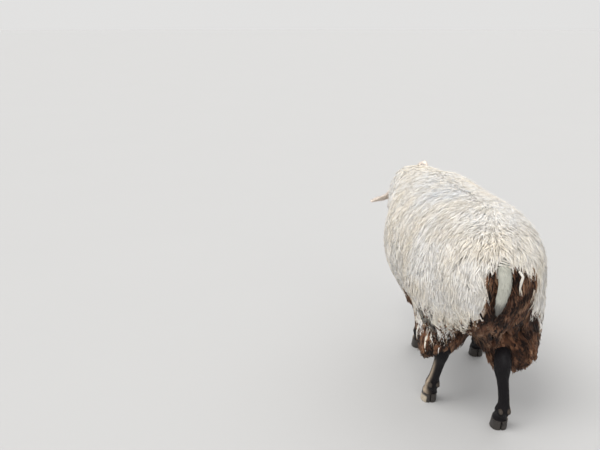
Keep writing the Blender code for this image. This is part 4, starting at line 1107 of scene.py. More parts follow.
def tubes(name, lines, outs, sizes, twists, colours, places_uv, material, lean=NORMALS_LEAN_OUT):
    """Closed three-sided locks along lines, in pieces that stay small, each lock in a patch of its own."""
    count, rings = lines.shape[0], lines.shape[1] - 1
    widths, thicks = sizes

    def to_vertices(sides, along):
        """Values at the corners of every ring, and then the last of those along the lock at its tip."""
        return np.concatenate([sides.reshape(count, rings * LOCK_SIDES, -1), along[:, rings:]], axis=1)

    ahead = unit(np.gradient(lines, axis=1))
    across = unit(np.cross(outs, ahead))
    up = np.cross(ahead, across)[:, :rings, None]
    across = across[:, :rings, None]
    turns = ring_angles(LOCK_SIDES) + twists[:, :rings, None]
    cosine, sine = np.cos(turns), np.sin(turns)
    body = (lines[:, :rings, None] + across * (cosine * widths[..., None])[..., None]
            + up * (sine * thicks[..., None])[..., None])
    round_out = across * cosine[..., None] + up * sine[..., None] + outs[:, :rings, None] * lean
    points = to_vertices(body, lines)
    normals = to_vertices(unit(round_out), unit(outs))
    values = to_vertices(np.repeat(colours[:, :rings], LOCK_SIDES, axis=1), colours)
    run = np.zeros((count, rings + 1, 1))
    run[:, 1:, 0] = np.cumsum(np.linalg.norm(np.diff(lines, axis=1), axis=2), axis=1)
    fibre = np.empty((count, rings * LOCK_SIDES + 1, 3))
    fibre[..., 0] = np.append(np.tile(np.arange(LOCK_SIDES) / LOCK_SIDES, rings), 0.5)
    fibre[..., 1] = to_vertices(np.repeat(run[:, :rings], LOCK_SIDES, axis=1), run)[..., 0]
    fibre[..., 2] = colours[:, :1, 1] * FIBRES_APART
    quads, ends, quad_uv, end_uv = lock_faces(rings)
    parts = math.ceil(count / (PIECE_TRIANGLES // (2 * len(quads) + len(ends))))
    made = []
    for part in range(parts):
        some = slice(part * count // parts, (part + 1) * count // parts)
        base = (np.arange(some.stop - some.start) * points.shape[1])[:, None, None]
        piece = mesh_object(f"{name}_{part + 1}" if parts > 1 else name, points[some].reshape(-1, 3),
                            (quads[None] + base).reshape(-1, 4), (ends[None] + base).reshape(-1, 3))
        piece.data.normals_split_custom_set_from_vertices(normals[some].reshape(-1, 3))
        set_colour(piece, "wool", values[some].reshape(-1, 4))
        set_vector(piece, "fibre", fibre[some].reshape(-1, 3))
        middle = places_uv[some][:, None, None]
        uv = np.concatenate([(middle + (corner_uv[None] - 0.5) * PATCH).reshape(-1, 2)
                             for corner_uv in (quad_uv, end_uv)])
        layer = piece.data.uv_layers.new(name="OFBake")
        layer.uv.foreach_set("vector", uv.astype(np.float32).ravel())
        piece.data.materials.append(material)
        made.append(piece)
    return made


def in_tile(tile, u, v):
    """Places on the unwrap from shares of the way over a tile."""
    left, low, width, height = TILES[tile]
    return np.column_stack([left + width * np.clip(u, 0, 1), low + height * np.clip(v, 0, 1)])


def head_unwrap(along, out, down):
    """Where the skin of the head lies on the unwrap."""
    return in_tile("head", (along + 0.02) / 0.25, np.arctan2(out, down) / (2 * math.pi) + 0.5)


def body_unwrap(points):
    """Where the skin under some places of trunk, neck and upper legs lies on the unwrap."""
    x, y, z = points.T
    table = np.array(TRUNK)
    first_x, last_x = table[0, 0], table[-1, 0]
    middle_z = np.interp(x, table[:, 0], table[:, 1])
    around = np.arctan2(y - spine_y(x), middle_z - z) / (2 * math.pi) + 0.5
    places = in_tile("trunk", (x - first_x + 0.06) / (last_x - first_x + 0.1), around)
    for leg, joints in LEGS.items():
        from_x, to_x, below_z, middle_y = LEG_ZONES[leg[:4]]
        side = outward(leg)
        own = (x > from_x) & (x < to_x) & (z < below_z) & (side * (y - middle_y) > 0)
        xs, ys, zs = np.array(joints[:3])[::-1].T
        turn = np.arctan2(side * (y - np.interp(z, zs, ys)), x - np.interp(z, zs, xs)) / (2 * math.pi) + 0.5
        places[own] = in_tile(leg, turn[own], (z[own] - 0.12) / 0.26)
    return places


def combed(lines, tail):
    """Locks near the tail, moved to its sides."""
    flat = lines.reshape(-1, 3)
    before_x, within_y, above_z = TAIL_ZONE
    near = np.flatnonzero((flat[:, 0] < before_x) & (np.abs(flat[:, 1] - BRITCH_MIDDLE_Y) < within_y)
                          & (flat[:, 2] > above_z))
    away = flat[near][:, None] - tail[None]
    away[..., 0] *= 0.35
    distance = np.linalg.norm(away, axis=2)
    closest = distance.argmin(axis=1)
    gap = np.maximum(TAIL_ROOM - distance[np.arange(len(near)), closest], 0)
    side = np.sign(away[np.arange(len(near)), closest, 1])
    flat[near, 1] += side * gap
    flat[near, 0] += gap * 0.25
    return flat.reshape(lines.shape)


def coat_weights(tail):
    """How densely short wool, clumps and locks grow, as three functions of place and facing."""

    def free(points, normals):
        leg_end = (points[:, 2] < 0.20) & (normals[:, 2] < -0.55)
        head_end = (to_head(points)[:, 0] > 0.045) & (points[:, 0] > 0.36)
        return 1.0 * ~((gap_to(points, tail) < TAIL_BARE) | leg_end | head_end)

    def on_thigh(points):
        return ease(HAM_BELOW_Z + 0.02, HAM_BELOW_Z - 0.06, points[:, 2]) * ease(-0.05, -0.12, points[:, 0])

    def clumps(points, normals):
        return free(points, normals) * (1 - CLUMPS_SPARSER * on_thigh(points))

    def locks(points, normals):
        return (free(points, normals) * (1 - THIGH_SPARSER * on_thigh(points))
                * (1 + SPINE_DENSER * on_spine(points, normals)))

    return free, clumps, locks


def long_coat(hull, tree, tail, clumps, locks, material, draw):
    """Locks of trunk, neck and upper legs, drawn together in clumps; those of the thighs hang long."""
    middles, middle_out = spread(hull, CLUMP_SPACING, draw, clumps)
    roots, normals = spread(hull, WOOL_SPACING, draw, locks)
    clump = nearest_of(middles, roots)
    turn = draw.normal(0, 1, len(middles)) * (CLUMP_TURN + SPINE_TURN * on_spine(middles, middle_out))
    ways = turned(body_lie(middles, middle_out), middle_out, turn)
    guides, _ = walk(middles, middle_out, ways, body_styles(middles, middle_out), tree)

    styles = body_styles(roots, normals)
    crossing = on_spine(roots, normals)
    count = len(roots)
    hanging = styles[:, 0] > HANGING_FROM
    ragged = 0.24 + 0.16 * ease(0.3, 0.7, styles[:, 3])
    styles[:, 0] *= 1 + ragged * draw.uniform(-1, 1, count)
    for kept in lengths_kept(roots):
        styles[:, 0] *= kept
    styles[:, 1:3] *= draw.uniform(0.75, 1.25, (count, 1))
    turn = turn[clump] * 0.8 + draw.normal(0, 1, count) * (LOCK_TURN + SPINE_TURN * crossing)
    ways = turned(body_lie(roots, normals), normals, turn)
    lines, outs = walk(roots, normals, ways, styles, tree, guides[clump])

    share = np.array(LOCK_STEPS)[None]
    run = styles[:, :1] * share
    rise = np.clip(share / RISEN_AT, 0, 1) ** 0.7
    level = draw.uniform(0, LEVELS, (count, 1))
    lift = styles[:, 7:8] * draw.uniform(-0.6, 1.1, (count, 1))
    deep = ROOT_DEPTH * (1 - 0.7 * ease(0.5, 0.95, normals[:, 2:])) * (1 - 0.8 * crossing[:, None])
    height = -deep * (1 - rise) - level * (1 - 0.5 * share) - COAT_SINKS + lift * share**2
    height = height - NAPE_LOWER * ease(*NAPE_LOWER_X, roots[:, :1])
    phase = draw.uniform(0, 2 * math.pi, len(middles))[clump][:, None] + draw.normal(0, 0.6, (count, 1))
    wave = 2 * math.pi * run / (styles[:, 5:6] * draw.uniform(0.85, 1.15, (count, 1))) + phase
    swing = styles[:, 4:5] * (0.25 + 0.75 * share)
    lines = combed(wavy(lines, outs, height, swing, wave, 0.5), tail)

    uneven = draw.normal(0, TIPS_UNEVEN, (count, 1)) * (1 + 0.6 * ease(-0.22, -0.30, roots[:, :1]))
    brown = brown_wool(lines[:, len(LOCK_STEPS) // 2])[:, None] * (0.75 + 0.25 * share)
    colours = np.empty((count, len(LOCK_STEPS), 4))
    # how far along the lock: the fleece paints shade near its root
    colours[..., 0] = share
    colours[..., 1] = 0.7 * draw.random((count, 1)) + 0.3 * draw.random(len(middles))[clump][:, None]
    colours[..., 2] = np.maximum(brown, brown_tips(lines, roots[:, None], uneven))
    colours[..., 3] = grey_and_shaded_wool(roots, normals)[:, None]
    sizes = lock_sizes(LOCK, styles[:, 1:2], styles[:, 2:3])
    twists = draw.uniform(0, 2 * math.pi, (count, 1)) + share * draw.uniform(-2.0, 2.0, (count, 1))
    places_uv = body_unwrap(roots)
    made = []
    for name, some, rows in (("fleece", ~hanging, SHORT_LOCK_RINGS),
                             ("hanging_wool", hanging, range(len(LOCK_STEPS)))):
        rows = np.array(rows)
        made += tubes(name, lines[some][:, rows], outs[some][:, rows],
                      [size[some][:, rows[:-1]] for size in sizes], twists[some][:, rows],
                      colours[some][:, rows], places_uv[some], material)
    return made


def short_coat(name, hull, tree, tail, free, material, draw):
    """Broad tufts under the locks or thin strands over them."""
    spacing, length, half, depth, rise, turn, shallower, brown_lower = SHORT_WOOL[name]
    roots, normals = spread(hull, spacing, draw, free)
    ways = turned(body_lie(roots, normals), normals, draw.normal(0, turn, len(roots)))
    middle = roots + ways * length * 0.5
    brown = np.maximum(brown_wool(middle), brown_tips(middle - (0, 0, brown_lower), roots))
    lower = (depth * (1 - shallower * ease(0.5, 0.95, normals[:, 2:]))
             + NAPE_LOWER * ease(*NAPE_LOWER_X, roots[:, :1]))
    tips = roots + ways * length
    under, facing = nearest(tree, tips)
    kept = dot(tips - under, facing)[:, 0] < TIPS_OFF
    if name == "strands":
        leg_end = (roots[:, 2] < 0.26) & (roots[:, 0] > -0.06) | (roots[:, 2] < 0.22)
        clear = gap_to(roots, tail) > TAIL_ROOM + length * 0.3
        kept &= clear & ~leg_end & (between_hams(roots) < 0.1)
    rises = rise * draw.uniform(0.3, 1.3, len(roots))[kept]
    marks = np.column_stack([brown, grey_and_shaded_wool(roots, normals)])
    return tufts(name, (roots - normals * lower)[kept], normals[kept], ways[kept], length, half, rises,
                 marks[kept], body_unwrap(roots)[kept], material, draw)


def loose_lock(material, draw):
    """The wavy white lock that has worked loose beside the tail."""
    count, swing, spread_out, half = 6, 0.0038, 0.0014, 0.0013
    middle = smooth_line(LOOSE_LOCK, LOCK_STEPS)
    share = np.array(LOCK_STEPS)[None]
    lines = middle[None] + draw.normal(0, spread_out, (count, 1, 3)) * (1 - 0.5 * share)[..., None]
    wave = share * draw.uniform(9, 11, (count, 1)) + draw.uniform(0, 0.8, (count, 1))
    lines = lines + np.stack([0 * wave, swing * np.sin(wave), 0 * wave], axis=-1)
    outs = np.tile((-1.0, 0.0, 0.0), (count, len(LOCK_STEPS), 1))
    values = np.zeros((count, len(LOCK_STEPS), 4))
    values[..., 0] = 0.6 + 0.4 * share
    values[..., 1] = 0.8
    sizes = np.full((count, 1), half)
    return tubes("loose_lock", lines, outs, lock_sizes(LOCK, sizes, sizes), 0 * wave, values,
                 body_unwrap(lines[:, 0]), material)


def tufts(name, roots, normals, ways, length, half, lift, colours, places_uv, material, draw,
          lean=NORMALS_LEAN_OUT):
    """Short hair that lies on the skin."""
    count = len(roots)
    size = draw.uniform(0.75, 1.25, (count, 1))
    length, half = np.reshape(length, (-1, 1)) * size, np.reshape(half, (-1, 1)) * size
    share = np.array([row[0] for row in TUFT] + [1.0])[None]
    ways = turned(laid(ways, normals), normals, draw.normal(0, 0.14, count))
    lines = roots[:, None] + ways[:, None] * (length * share)[..., None]
    lift = np.reshape(lift, (-1, 1)) * share - half * TUFT_FLAT * (1 - share)
    lines = lines + normals[:, None] * lift[..., None]
    outs = np.repeat(normals[:, None], share.shape[1], axis=1)
    values = np.empty((count, share.shape[1], 4))
    # how far along the tuft: the materials paint shade at its root, and the hair material also paints light
    # at its tip
    values[..., 0] = 0.5 + 0.5 * share
    values[..., 1] = draw.random((count, 1))
    values[..., 2:] = colours[:, None]
    twists = np.full((count, share.shape[1]), math.pi / 2)
    sizes = lock_sizes(TUFT, half, half * TUFT_FLAT)
    return tubes(name, lines, outs, sizes, twists, values, places_uv, material, lean)


def shank_surface(leg, spacing, draw):
    """Places on a lower leg, its outward directions, where they are along and around, and the way down."""
    rings = shank_rings(leg)
    rows, columns = rings.shape[:2]
    area = np.linalg.norm(rings[1:] - rings[:-1], axis=2).mean() * (rows - 1) * SHANK_GIRTH
    count = int(area / spacing**2)
    s, a = draw.uniform(0.12, 0.985, count), draw.random(count)
    row, column = (s * (rows - 1)).astype(int), (a * columns).astype(int)
    down_share, round_share = (s * (rows - 1) - row)[:, None], (a * columns - column)[:, None]
    beside = (column + 1) % columns

    def blend(values):
        upper = values[row, column] * (1 - round_share) + values[row, beside] * round_share
        lower = values[row + 1, column] * (1 - round_share) + values[row + 1, beside] * round_share
        return upper * (1 - down_share) + lower * down_share

    return blend(rings), unit(blend(ring_normals(rings))), s, a, unit(blend(np.gradient(rings, axis=0)))


def leg_stripe(leg, s, a):
    """How pale a lower leg is: a stripe down its outer edge, wider at the foot."""
    at, width, top = LEG_STRIPES[leg]
    away = np.abs((a - at + 0.5) % 1 - 0.5) * 2 * math.pi
    return np.exp(-(away / (width * (1 + 1.2 * ease(0.8, 1.0, s)))) ** 2) * ease(top, top + 0.2, s)


def head_marks(points):
    """How dark and how pale the face is: dark muzzle, chin and eyes, pale poll, brow and end of the nose."""
    along, out, up = to_head(points).T
    out = np.abs(out)

    def spot(strength, at, reach, height, high):
        return strength * np.exp(-((along - at) / reach) ** 2 - ((up - height) / high) ** 2)

    middle = ease(0.0045, 0.0015, out) * ease(0.205, 0.209, along) * ease(-0.012, -0.008, up)
    around = np.linalg.norm(np.column_stack([along, out, up]) - NOSTRIL, axis=1)
    nose = np.maximum(0.9 * ease(0.0115, 0.0065, around), 0.6 * middle)
    bridge = 0.55 * ease(0.10, 0.15, along) * ease(0.012, 0.022, up) * ease(0.20, 0.17, along)
    eye = spot(1.2, 0.082, 0.019, 0.016, 0.013) * ease(0.02, 0.035, out)
    tear = spot(0.7, 0.108, 0.014, 0.002, 0.007) * ease(0.02, 0.03, out)
    chin = 0.35 * ease(-0.022, -0.036, up) * ease(0.03, 0.09, along)
    dark = np.clip(np.maximum.reduce([nose, bridge, eye, tear, chin]) + 0.08 * ripple(points, 0.012, 5), 0, 1)
    mealy = 0.75 * ease(0.168, 0.192, along)
    brow = spot(0.5, 0.115, 0.02, 0.02, 0.01)
    pale = np.clip(ease(0.045, 0.02, along) + mealy + brow + 0.22 * ripple(points, 0.02, 6), 0, 1)
    return dark, pale


# Materials


class Nodes:
    """A material's node tree with short ways to add to it."""

    def __init__(self, name, roughness, **settings):
        self.material = bpy.data.materials.new(name)
        self.material.use_nodes = True
        self.tree = self.material.node_tree
        self.shader = self.tree.nodes["Principled BSDF"]
        self.shader.inputs["Roughness"].default_value = roughness
        for key, value in settings.items():
            self.shader.inputs[key.replace("_", " ")].default_value = value

    def add(self, kind, **settings):
        """A new node."""
        node = self.tree.nodes.new(kind)
        for key, value in settings.items():
            setattr(node, key, value)
        return node

    def link(self, source, target):
        """Leads an output to an input."""
        self.tree.links.new(source, target)

    def value(self, operation, a, b=0.0, c=None):
        """A Math node; its inputs are sockets or numbers."""
        node = self.add("ShaderNodeMath", operation=operation)
        for socket, given in zip(node.inputs, (a, b) if c is None else (a, b, c)):
            self.put(given, socket)
        return node.outputs[0]

    def put(self, given, socket):
        """Leads an output to an input, or sets the input to a number or colour."""
        if isinstance(given, bpy.types.NodeSocket):
            self.link(given, socket)
        else:
            socket.default_value = given

    def mix(self, factor, a, b, blend="MIX"):
        """Two colours mixed."""
        node = self.add("ShaderNodeMix", data_type="RGBA", blend_type=blend)
        self.put(factor, node.inputs["Factor"])
        for given, socket in ((a, node.inputs["A"]), (b, node.inputs["B"])):
            self.put((*given, 1.0) if isinstance(given, tuple) else given, socket)
        return node.outputs["Result"]

    def ramp(self, factor, stops):
        """A smooth change between numbers or colours at places from 0 to 1."""
        node = self.add("ShaderNodeValToRGB")
        band = node.color_ramp
        while len(band.elements) < len(stops):
            band.elements.new(0.5)
        for element, (place, colour) in zip(band.elements, stops):
            element.position = place
            element.color = (*colour, 1.0) if isinstance(colour, tuple) else (colour, colour, colour, 1.0)
        self.put(factor, node.inputs["Fac"])
        return node.outputs["Color"]

    def fade(self, factor, low, high):
        """From 0 to 1 between two places."""
        return self.ramp(factor, ((low, 0.0), (high, 1.0)))

    def times(self, a, b):
        """One colour times another."""
        return self.mix(1.0, a, b, "MULTIPLY")

    def attribute(self, name):
        """Values that the vertices carry."""
        return self.add("ShaderNodeAttribute", attribute_name=name)

    def places(self, scale=(1.0, 1.0, 1.0), source=None):
        """Places on the object, or what else is given, times a scale."""
        mapping = self.add("ShaderNodeMapping")
        mapping.inputs["Scale"].default_value = scale
        self.link(source or self.add("ShaderNodeTexCoord").outputs["Object"], mapping.inputs["Vector"])
        return mapping.outputs["Vector"]

    def noise(self, vector, scale, detail=3.0, roughness=0.55):
        """Soft noise from about 0 to 1."""
        node = self.add("ShaderNodeTexNoise")
        node.inputs["Scale"].default_value = scale
        node.inputs["Detail"].default_value = detail
        node.inputs["Roughness"].default_value = roughness
        self.link(vector, node.inputs["Vector"])
        return node.outputs["Fac"]

    def bump(self, height, distance, strength=1.0):
        """Makes the surface look raised by a height."""
        node = self.add("ShaderNodeBump")
        node.inputs["Distance"].default_value = distance
        node.inputs["Strength"].default_value = strength
        self.link(height, node.inputs["Height"])
        self.link(node.outputs["Normal"], self.shader.inputs["Normal"])

    def colour(self, socket):
        """Gives the surface its colour; this is the last step of a material."""
        self.link(socket, self.shader.inputs["Base Color"])
        return self.material


def wool_channels(nodes):
    """How far along a lock, its own number, how brown, and how grey, which is partly painted shade."""
    source = nodes.attribute("wool")
    parts = nodes.add("ShaderNodeSeparateColor")
    nodes.link(source.outputs["Color"], parts.inputs["Color"])
    return parts.outputs[0], parts.outputs[1], parts.outputs[2], source.outputs["Alpha"]


def fleece_material(name):
    """Ivory wool with painted shade towards the root, grey streaks on the back that are partly painted shade,
    and brown behind and low down.
    """
    nodes = Nodes(name, 0.8, Sheen_Weight=0.06, Sheen_Roughness=0.5, Specular_IOR_Level=0.1,
                  Subsurface_Weight=0.35, Subsurface_Radius=(1.0, 0.8, 0.6), Subsurface_Scale=0.006)
    along, own, brown, grey = wool_channels(nodes)
    where = nodes.places()
    patches = nodes.noise(where, 9.0, 4.0)
    light = nodes.mix(nodes.fade(patches, 0.40, 0.66), IVORY, CREAM)
    # grey: partly the wool's own dirty grey tips, partly painted shade in the partings on the back
    light = nodes.mix(grey, light, GREY_AND_SHADED_WOOL)
    # brown locks turn near black towards the root, painted shade deep in the coat, and pale rust at random
    # and towards the tips, partly the wool's own paler tips and partly painted highlight
    tips = nodes.value("MULTIPLY", own, nodes.value("MULTIPLY_ADD", along, 0.6, 0.4))
    masses = nodes.ramp(nodes.noise(where, 24.0, 2.0), ((0.40, 0.35), (0.62, 1.25)))
    dark = nodes.ramp(nodes.value("MULTIPLY", tips, masses), ((0.12, BROWN), (0.46, RUST), (0.85, RUST_PALE)))
    turning = nodes.value("MULTIPLY", brown, nodes.value("MULTIPLY_ADD", own, 1.2, 0.4))
    wool = nodes.mix(nodes.fade(turning, 0.03, 0.24), light, TAN)
    wool = nodes.mix(nodes.fade(turning, 0.18, 0.40), wool, dark)
    # painted shade: the wool darkens towards its root, deep in the coat
    depth = nodes.ramp(along, ((0.0, 0.78), (0.25, 0.88), (0.60, 0.97), (1.0, 1.0)))
    wool = nodes.times(wool, depth)
    shade = nodes.ramp(own, ((0.0, 0.86), (0.5, 0.97), (1.0, 1.0)))
    wool = nodes.times(wool, shade)
    fibre = nodes.places((9.0, 55.0, 1.0), nodes.attribute("fibre").outputs["Vector"])
    strands = nodes.noise(fibre, 1.0, 2.0)
    wool = nodes.times(wool, nodes.ramp(strands, ((0.34, 0.80), (0.56, 1.0))))
    nodes.bump(strands, 0.0014, 0.9)
    return nodes.colour(wool)


def hair_material(name, base, dark, pale, roughness=0.6):
    """Short hair: a base colour that two markings darken and lighten, with a fine grain, and painted shade on
    the skin and roots with painted light at the tips.
    """
    nodes = Nodes(name, roughness, Sheen_Weight=0.02, Sheen_Roughness=0.5, Specular_IOR_Level=0.12)
    along, own, darker, paler = wool_channels(nodes)
    where = nodes.places()
    tone = nodes.mix(nodes.noise(where, 60.0, 3.0), base, tuple(c * 1.35 for c in base))
    tone = nodes.mix(paler, tone, pale)
    tone = nodes.mix(darker, tone, dark)
    # painted shade and light: the bare skin and the roots are darker and the tips lighter, which also makes
    # up for the shade that thin tufts fall into
    shade = nodes.ramp(nodes.value("MULTIPLY_ADD", own, 0.12, nodes.value("MULTIPLY", along, 0.88)),
                       ((0.30, 0.76), (0.55, 0.95), (1.0, 1.1)))
    grain = nodes.noise(nodes.places((1.0, 1.0, 0.35)), 900.0, 2.0)
    nodes.bump(grain, 0.0006, 0.6)
    return nodes.colour(nodes.times(tone, shade))


def horn_material():
    """Hoof horn: dark, paler at the toe, with growth rings, fine upright lines and mud-dulled gloss."""
    nodes = Nodes("hoof_horn", 0.48, Specular_IOR_Level=0.4)
    source = nodes.attribute("horn")
    parts = nodes.add("ShaderNodeSeparateXYZ")
    nodes.link(source.outputs["Vector"], parts.inputs["Vector"])
    height, toe = parts.outputs["Z"], parts.outputs["X"]
    where = nodes.places()
    mottle = nodes.noise(where, 140.0, 4.0)
    edge = nodes.value("ADD", toe, nodes.value("MULTIPLY_ADD", mottle, 0.5, -0.25))
    tone = nodes.mix(nodes.fade(edge, 0.45, 0.95), HORN, HORN_PALE)
    tone = nodes.mix(nodes.ramp(mottle, ((0.35, 0.0), (0.75, 0.45))), tone, tuple(c * 2.2 for c in HORN))
    rings = nodes.add("ShaderNodeTexWave", wave_type="BANDS", bands_direction="Z")
    rings.inputs["Scale"].default_value = 90.0
    rings.inputs["Distortion"].default_value = 2.0
    nodes.link(where, rings.inputs["Vector"])
    lines = nodes.noise(nodes.places((1.0, 1.0, 0.08)), 700.0, 2.0)
    nodes.bump(nodes.value("ADD", rings.outputs["Fac"], lines), 0.0008, 0.5)
    tone = nodes.mix(nodes.ramp(height, ((0.0, 0.35), (0.12, 0.0))), tone, (0.10, 0.085, 0.065))
    return nodes.colour(tone)


def eye_material():
    """A wet amber eye with a level dark pupil, a darker rim and white corners, behind a clear coat."""
    nodes = Nodes("eye", 0.25, Coat_Weight=1.0, Coat_Roughness=0.02, Specular_IOR_Level=0.6)
    parts = nodes.add("ShaderNodeSeparateXYZ")
    nodes.link(nodes.add("ShaderNodeTexCoord").outputs["Object"], parts.inputs["Vector"])
    x = nodes.value("DIVIDE", parts.outputs["X"], EYE_RADIUS)
    y = nodes.value("DIVIDE", parts.outputs["Y"], EYE_RADIUS)

    def powers(wide, high, power):
        """The sum of equal powers of x and y as shares of two half axes."""
        shares = (nodes.value("ABSOLUTE", nodes.value("DIVIDE", *pair)) for pair in ((x, wide), (y, high)))
        return nodes.value("ADD", *[nodes.value("POWER", share, power) for share in shares])

    away = nodes.value("SQRT", powers(1.0, 1.0, 2.0))
    pupil = nodes.ramp(powers(*PUPIL, 4.0), ((0.80, 1.0), (1.0, 0.0)))
    rays = nodes.noise(nodes.places((1.0, 1.0, 0.2)), 520.0, 4.0)
    iris = nodes.mix(rays, (0.34, 0.17, 0.045), (0.62, 0.38, 0.12))
    iris = nodes.mix(nodes.fade(away, 0.55, 0.74), iris, (0.05, 0.025, 0.012))
    tone = nodes.mix(nodes.fade(away, 0.76, 0.84), iris, (0.38, 0.30, 0.25))
    return nodes.colour(nodes.mix(pupil, tone, (0.006, 0.007, 0.010)))


def floor_material():
    """Plain pale floor with a barely visible mottle."""
    nodes = Nodes("floor", 0.9, Specular_IOR_Level=0.1)
    where = nodes.places()
    tone = nodes.mix(nodes.noise(where, 1.5, 3.0), tuple(c * 0.985 for c in FLOOR), FLOOR)
    nodes.bump(nodes.noise(where, 60.0, 2.0), 0.0005, 0.2)
    return nodes.colour(tone)


# Skin


def mark(made, columns):
    """Sets the wool channels of a smooth body: along, own, dark and pale; along sets how much painted shade
    it gets.
    """
    count = len(made.data.vertices)
    set_colour(made, "wool", np.column_stack([np.broadcast_to(c, count) for c in columns]))


def joined(name, parts):
    """Several objects as one, with the materials and named values of all."""
    bpy.ops.object.select_all(action="DESELECT")
    for part in parts:
        part.select_set(True)
    bpy.context.view_layer.objects.active = parts[0]
    bpy.ops.object.join()
    parts[0].name = name
    parts[0].data.name = name
    return parts[0]


def make_body(material):
    """Trunk, upper legs and tail under the fleece as one smooth surface, with the markings of the wool."""
    shells = [trunk(SKIN_SHARE), shell(tail_rings())] + [upper_leg(leg, SKIN_SHARE) for leg in LEGS]
    body = remesh(face_out(mesh_object("body", *merge(shells))), SKIN_VOXEL, 8)
    points, normals = vertex_places(body), vertex_normals(body)
    brown = np.maximum(brown_wool(points), brown_tips(points - (0, 0, BROWN_UNDER), points))
    tail = smooth_line(TAIL_LINE, np.linspace(0, 1, 30))
    brown[(gap_to(points, tail) < TAIL_WHITE_WITHIN) & (points[:, 0] < -0.47)] = 0
    # the skin takes the painted shade of deep wool, a quarter of the way along a lock, so gaps between locks
    # look shaded
    mark(body, (0.25, 0.5, brown, grey_and_shaded_wool(points, normals)))
    body.data.materials.append(material)
    return body


def make_shank(leg, material):
    """A lower leg with its two dewclaws, and its pale stripe marked."""
    rings = shank_rings(leg)
    rows, columns = rings.shape[:2]
    s, a = np.meshgrid(np.linspace(0, 1, rows), np.arange(columns) / columns, indexing="ij")
    claws = [dewclaw(leg, way) for way in (-1, 1)]
    pale = [leg_stripe(leg, s.ravel(), a.ravel()), [0, 0]] + [np.full(len(made[0]), 0.10) for made in claws]
    shank = face_out(mesh_object("shank", *merge([shell(rings)] + claws)))
    mark(shank, (0.4, 0.5, 0.0, np.concatenate(pale)))
    shank.data.materials.append(material)
    return shank


def make_head(material):
    """The head with lids and eye openings, mouth and nostrils."""
    shells = [shell(head_rings(HEAD_SKIN_SHARE))] + [lids(side) for side in (-1, 1)]
    head = remesh(face_out(mesh_object("head_base", *merge(shells))), HEAD_VOXEL, 3)
    cutters = [mesh_object("mouth", *mouth_groove())]
    for side in (-1, 1):
        cutters.append(mesh_object("slit", *eye_slit(side)))
        cutters.append(mesh_object("socket", *eye_socket(side)))
        cutters.append(mesh_object("nostril", *nostril(side)))
    for cutter in cutters:
        face_out(cutter)
    cut(head, cutters)
    head.data.materials.clear()
    mark(head, (0.35, 0.5, *head_marks(vertex_places(head))))
    head.data.materials.append(material)
    return head


def ear_rim(marks):
    """How near places of an ear are to its pale edge and tip."""
    edge = ease(0.50, 0.90, np.abs(marks[:, 1])) * ease(0.2, 0.4, marks[:, 0])
    return np.maximum(edge, ease(0.84, 0.95, marks[:, 0]))


def make_ear(side, material):
    """An ear, with its pale rim and dark inside marked."""
    rings, marks = ear_rings(side)
    ear = face_out(mesh_object("ear", *shell(rings)))
    marks = np.vstack([marks.reshape(-1, 3), marks[0].mean(axis=0), marks[-1].mean(axis=0)])
    rim = ear_rim(marks)
    mark(ear, (0.6, 0.5, marks[:, 2] * (1 - rim), np.clip(rim + 0.35, 0, 1)))
    ear.data.materials.append(material)
    return ear


def make_skin(fleece, leg_hair, face_hair, ear_hair):
    """One skin in place of all flesh; gives the surface of its head too, and a search tree over that."""
    body = make_body(fleece)
    shanks = [make_shank(leg, leg_hair) for leg in LEGS]
    head = make_head(face_hair)
    bare_head, head_tree = head.data.copy(), tree_of(head)
    skin = joined("skin", [body] + shanks + [head] + [make_ear(side, ear_hair) for side in (-1, 1)])
    skin.data.shade_smooth()
    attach(skin, "root")
    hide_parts("torso", "neck", "head", "tail", "ear_left", "ear_right",
                *[leg + ("_thigh" if leg.startswith("hind") else "_forearm") for leg in LEGS],
                *[leg + "_shank" for leg in LEGS])
    return bare_head, head_tree


# Coat


def dress_body(material):
    """The fleece of trunk, neck and upper legs: locks, short wool under and over them, one loose lock."""
    draw = np.random.default_rng(WOOL_SEED)
    tail = smooth_line(TAIL_LINE, np.linspace(0.25, 1, 20))
    shells = [trunk(1.0)] + [upper_leg(leg, 1.0) for leg in LEGS]
    hull = remesh(face_out(mesh_object("hull", *merge(shells))), HULL_VOXEL, 14)
    tree = tree_of(hull)
    free, clumps, locks = coat_weights(tail)
    coat = long_coat(hull, tree, tail, clumps, locks, material, draw)
    for name in SHORT_WOOL:
        coat += short_coat(name, hull, tree, tail, free, material, draw)
    coat += loose_lock(material, draw)
    bpy.data.objects.remove(hull)
    return coat


def dress_tail(draw):
    """Short hair of the tail, grey at its tip, with painted shade down its right side."""
    count, length, half, lift = TAIL_HAIR
    rings = tail_rings()
    s, a = draw.uniform(0.02, 0.97, count), draw.random(count)
    r, k = (s * (len(rings) - 1)).astype(int), (a * rings.shape[1]).astype(int)
    down = unit(np.gradient(rings, axis=0)[r, k])
    # grey at the tip, and painted shade in a band down the right side of the tail
    dark = np.maximum(0.9 * ease(0.72, 0.88, s), 0.40 * np.exp(-((a - 0.5) / 0.13) ** 2))
    return tufts("tail_hair", rings[r, k], ring_normals(rings)[r, k], down, length, half, lift,
                 np.column_stack([dark, 0 * dark]), in_tile("tail", a, s),
                 hair_material("tail_hair", TAIL_WHITE, TAIL_GREY_AND_SHADE, TAIL_WHITE), draw)


def dress_leg(leg, material, draw):
    """Short hair of a lower leg."""
    spacing, length, half, lift = LEG_HAIR
    places, normals, s, a, down = shank_surface(leg, spacing, draw)
    pale = leg_stripe(leg, s, a)
    made = tufts(leg + "_hair", places, normals, down, length, half, lift,
                 np.column_stack([0 * pale, pale]), in_tile(leg, a, s), material, draw)
    return made


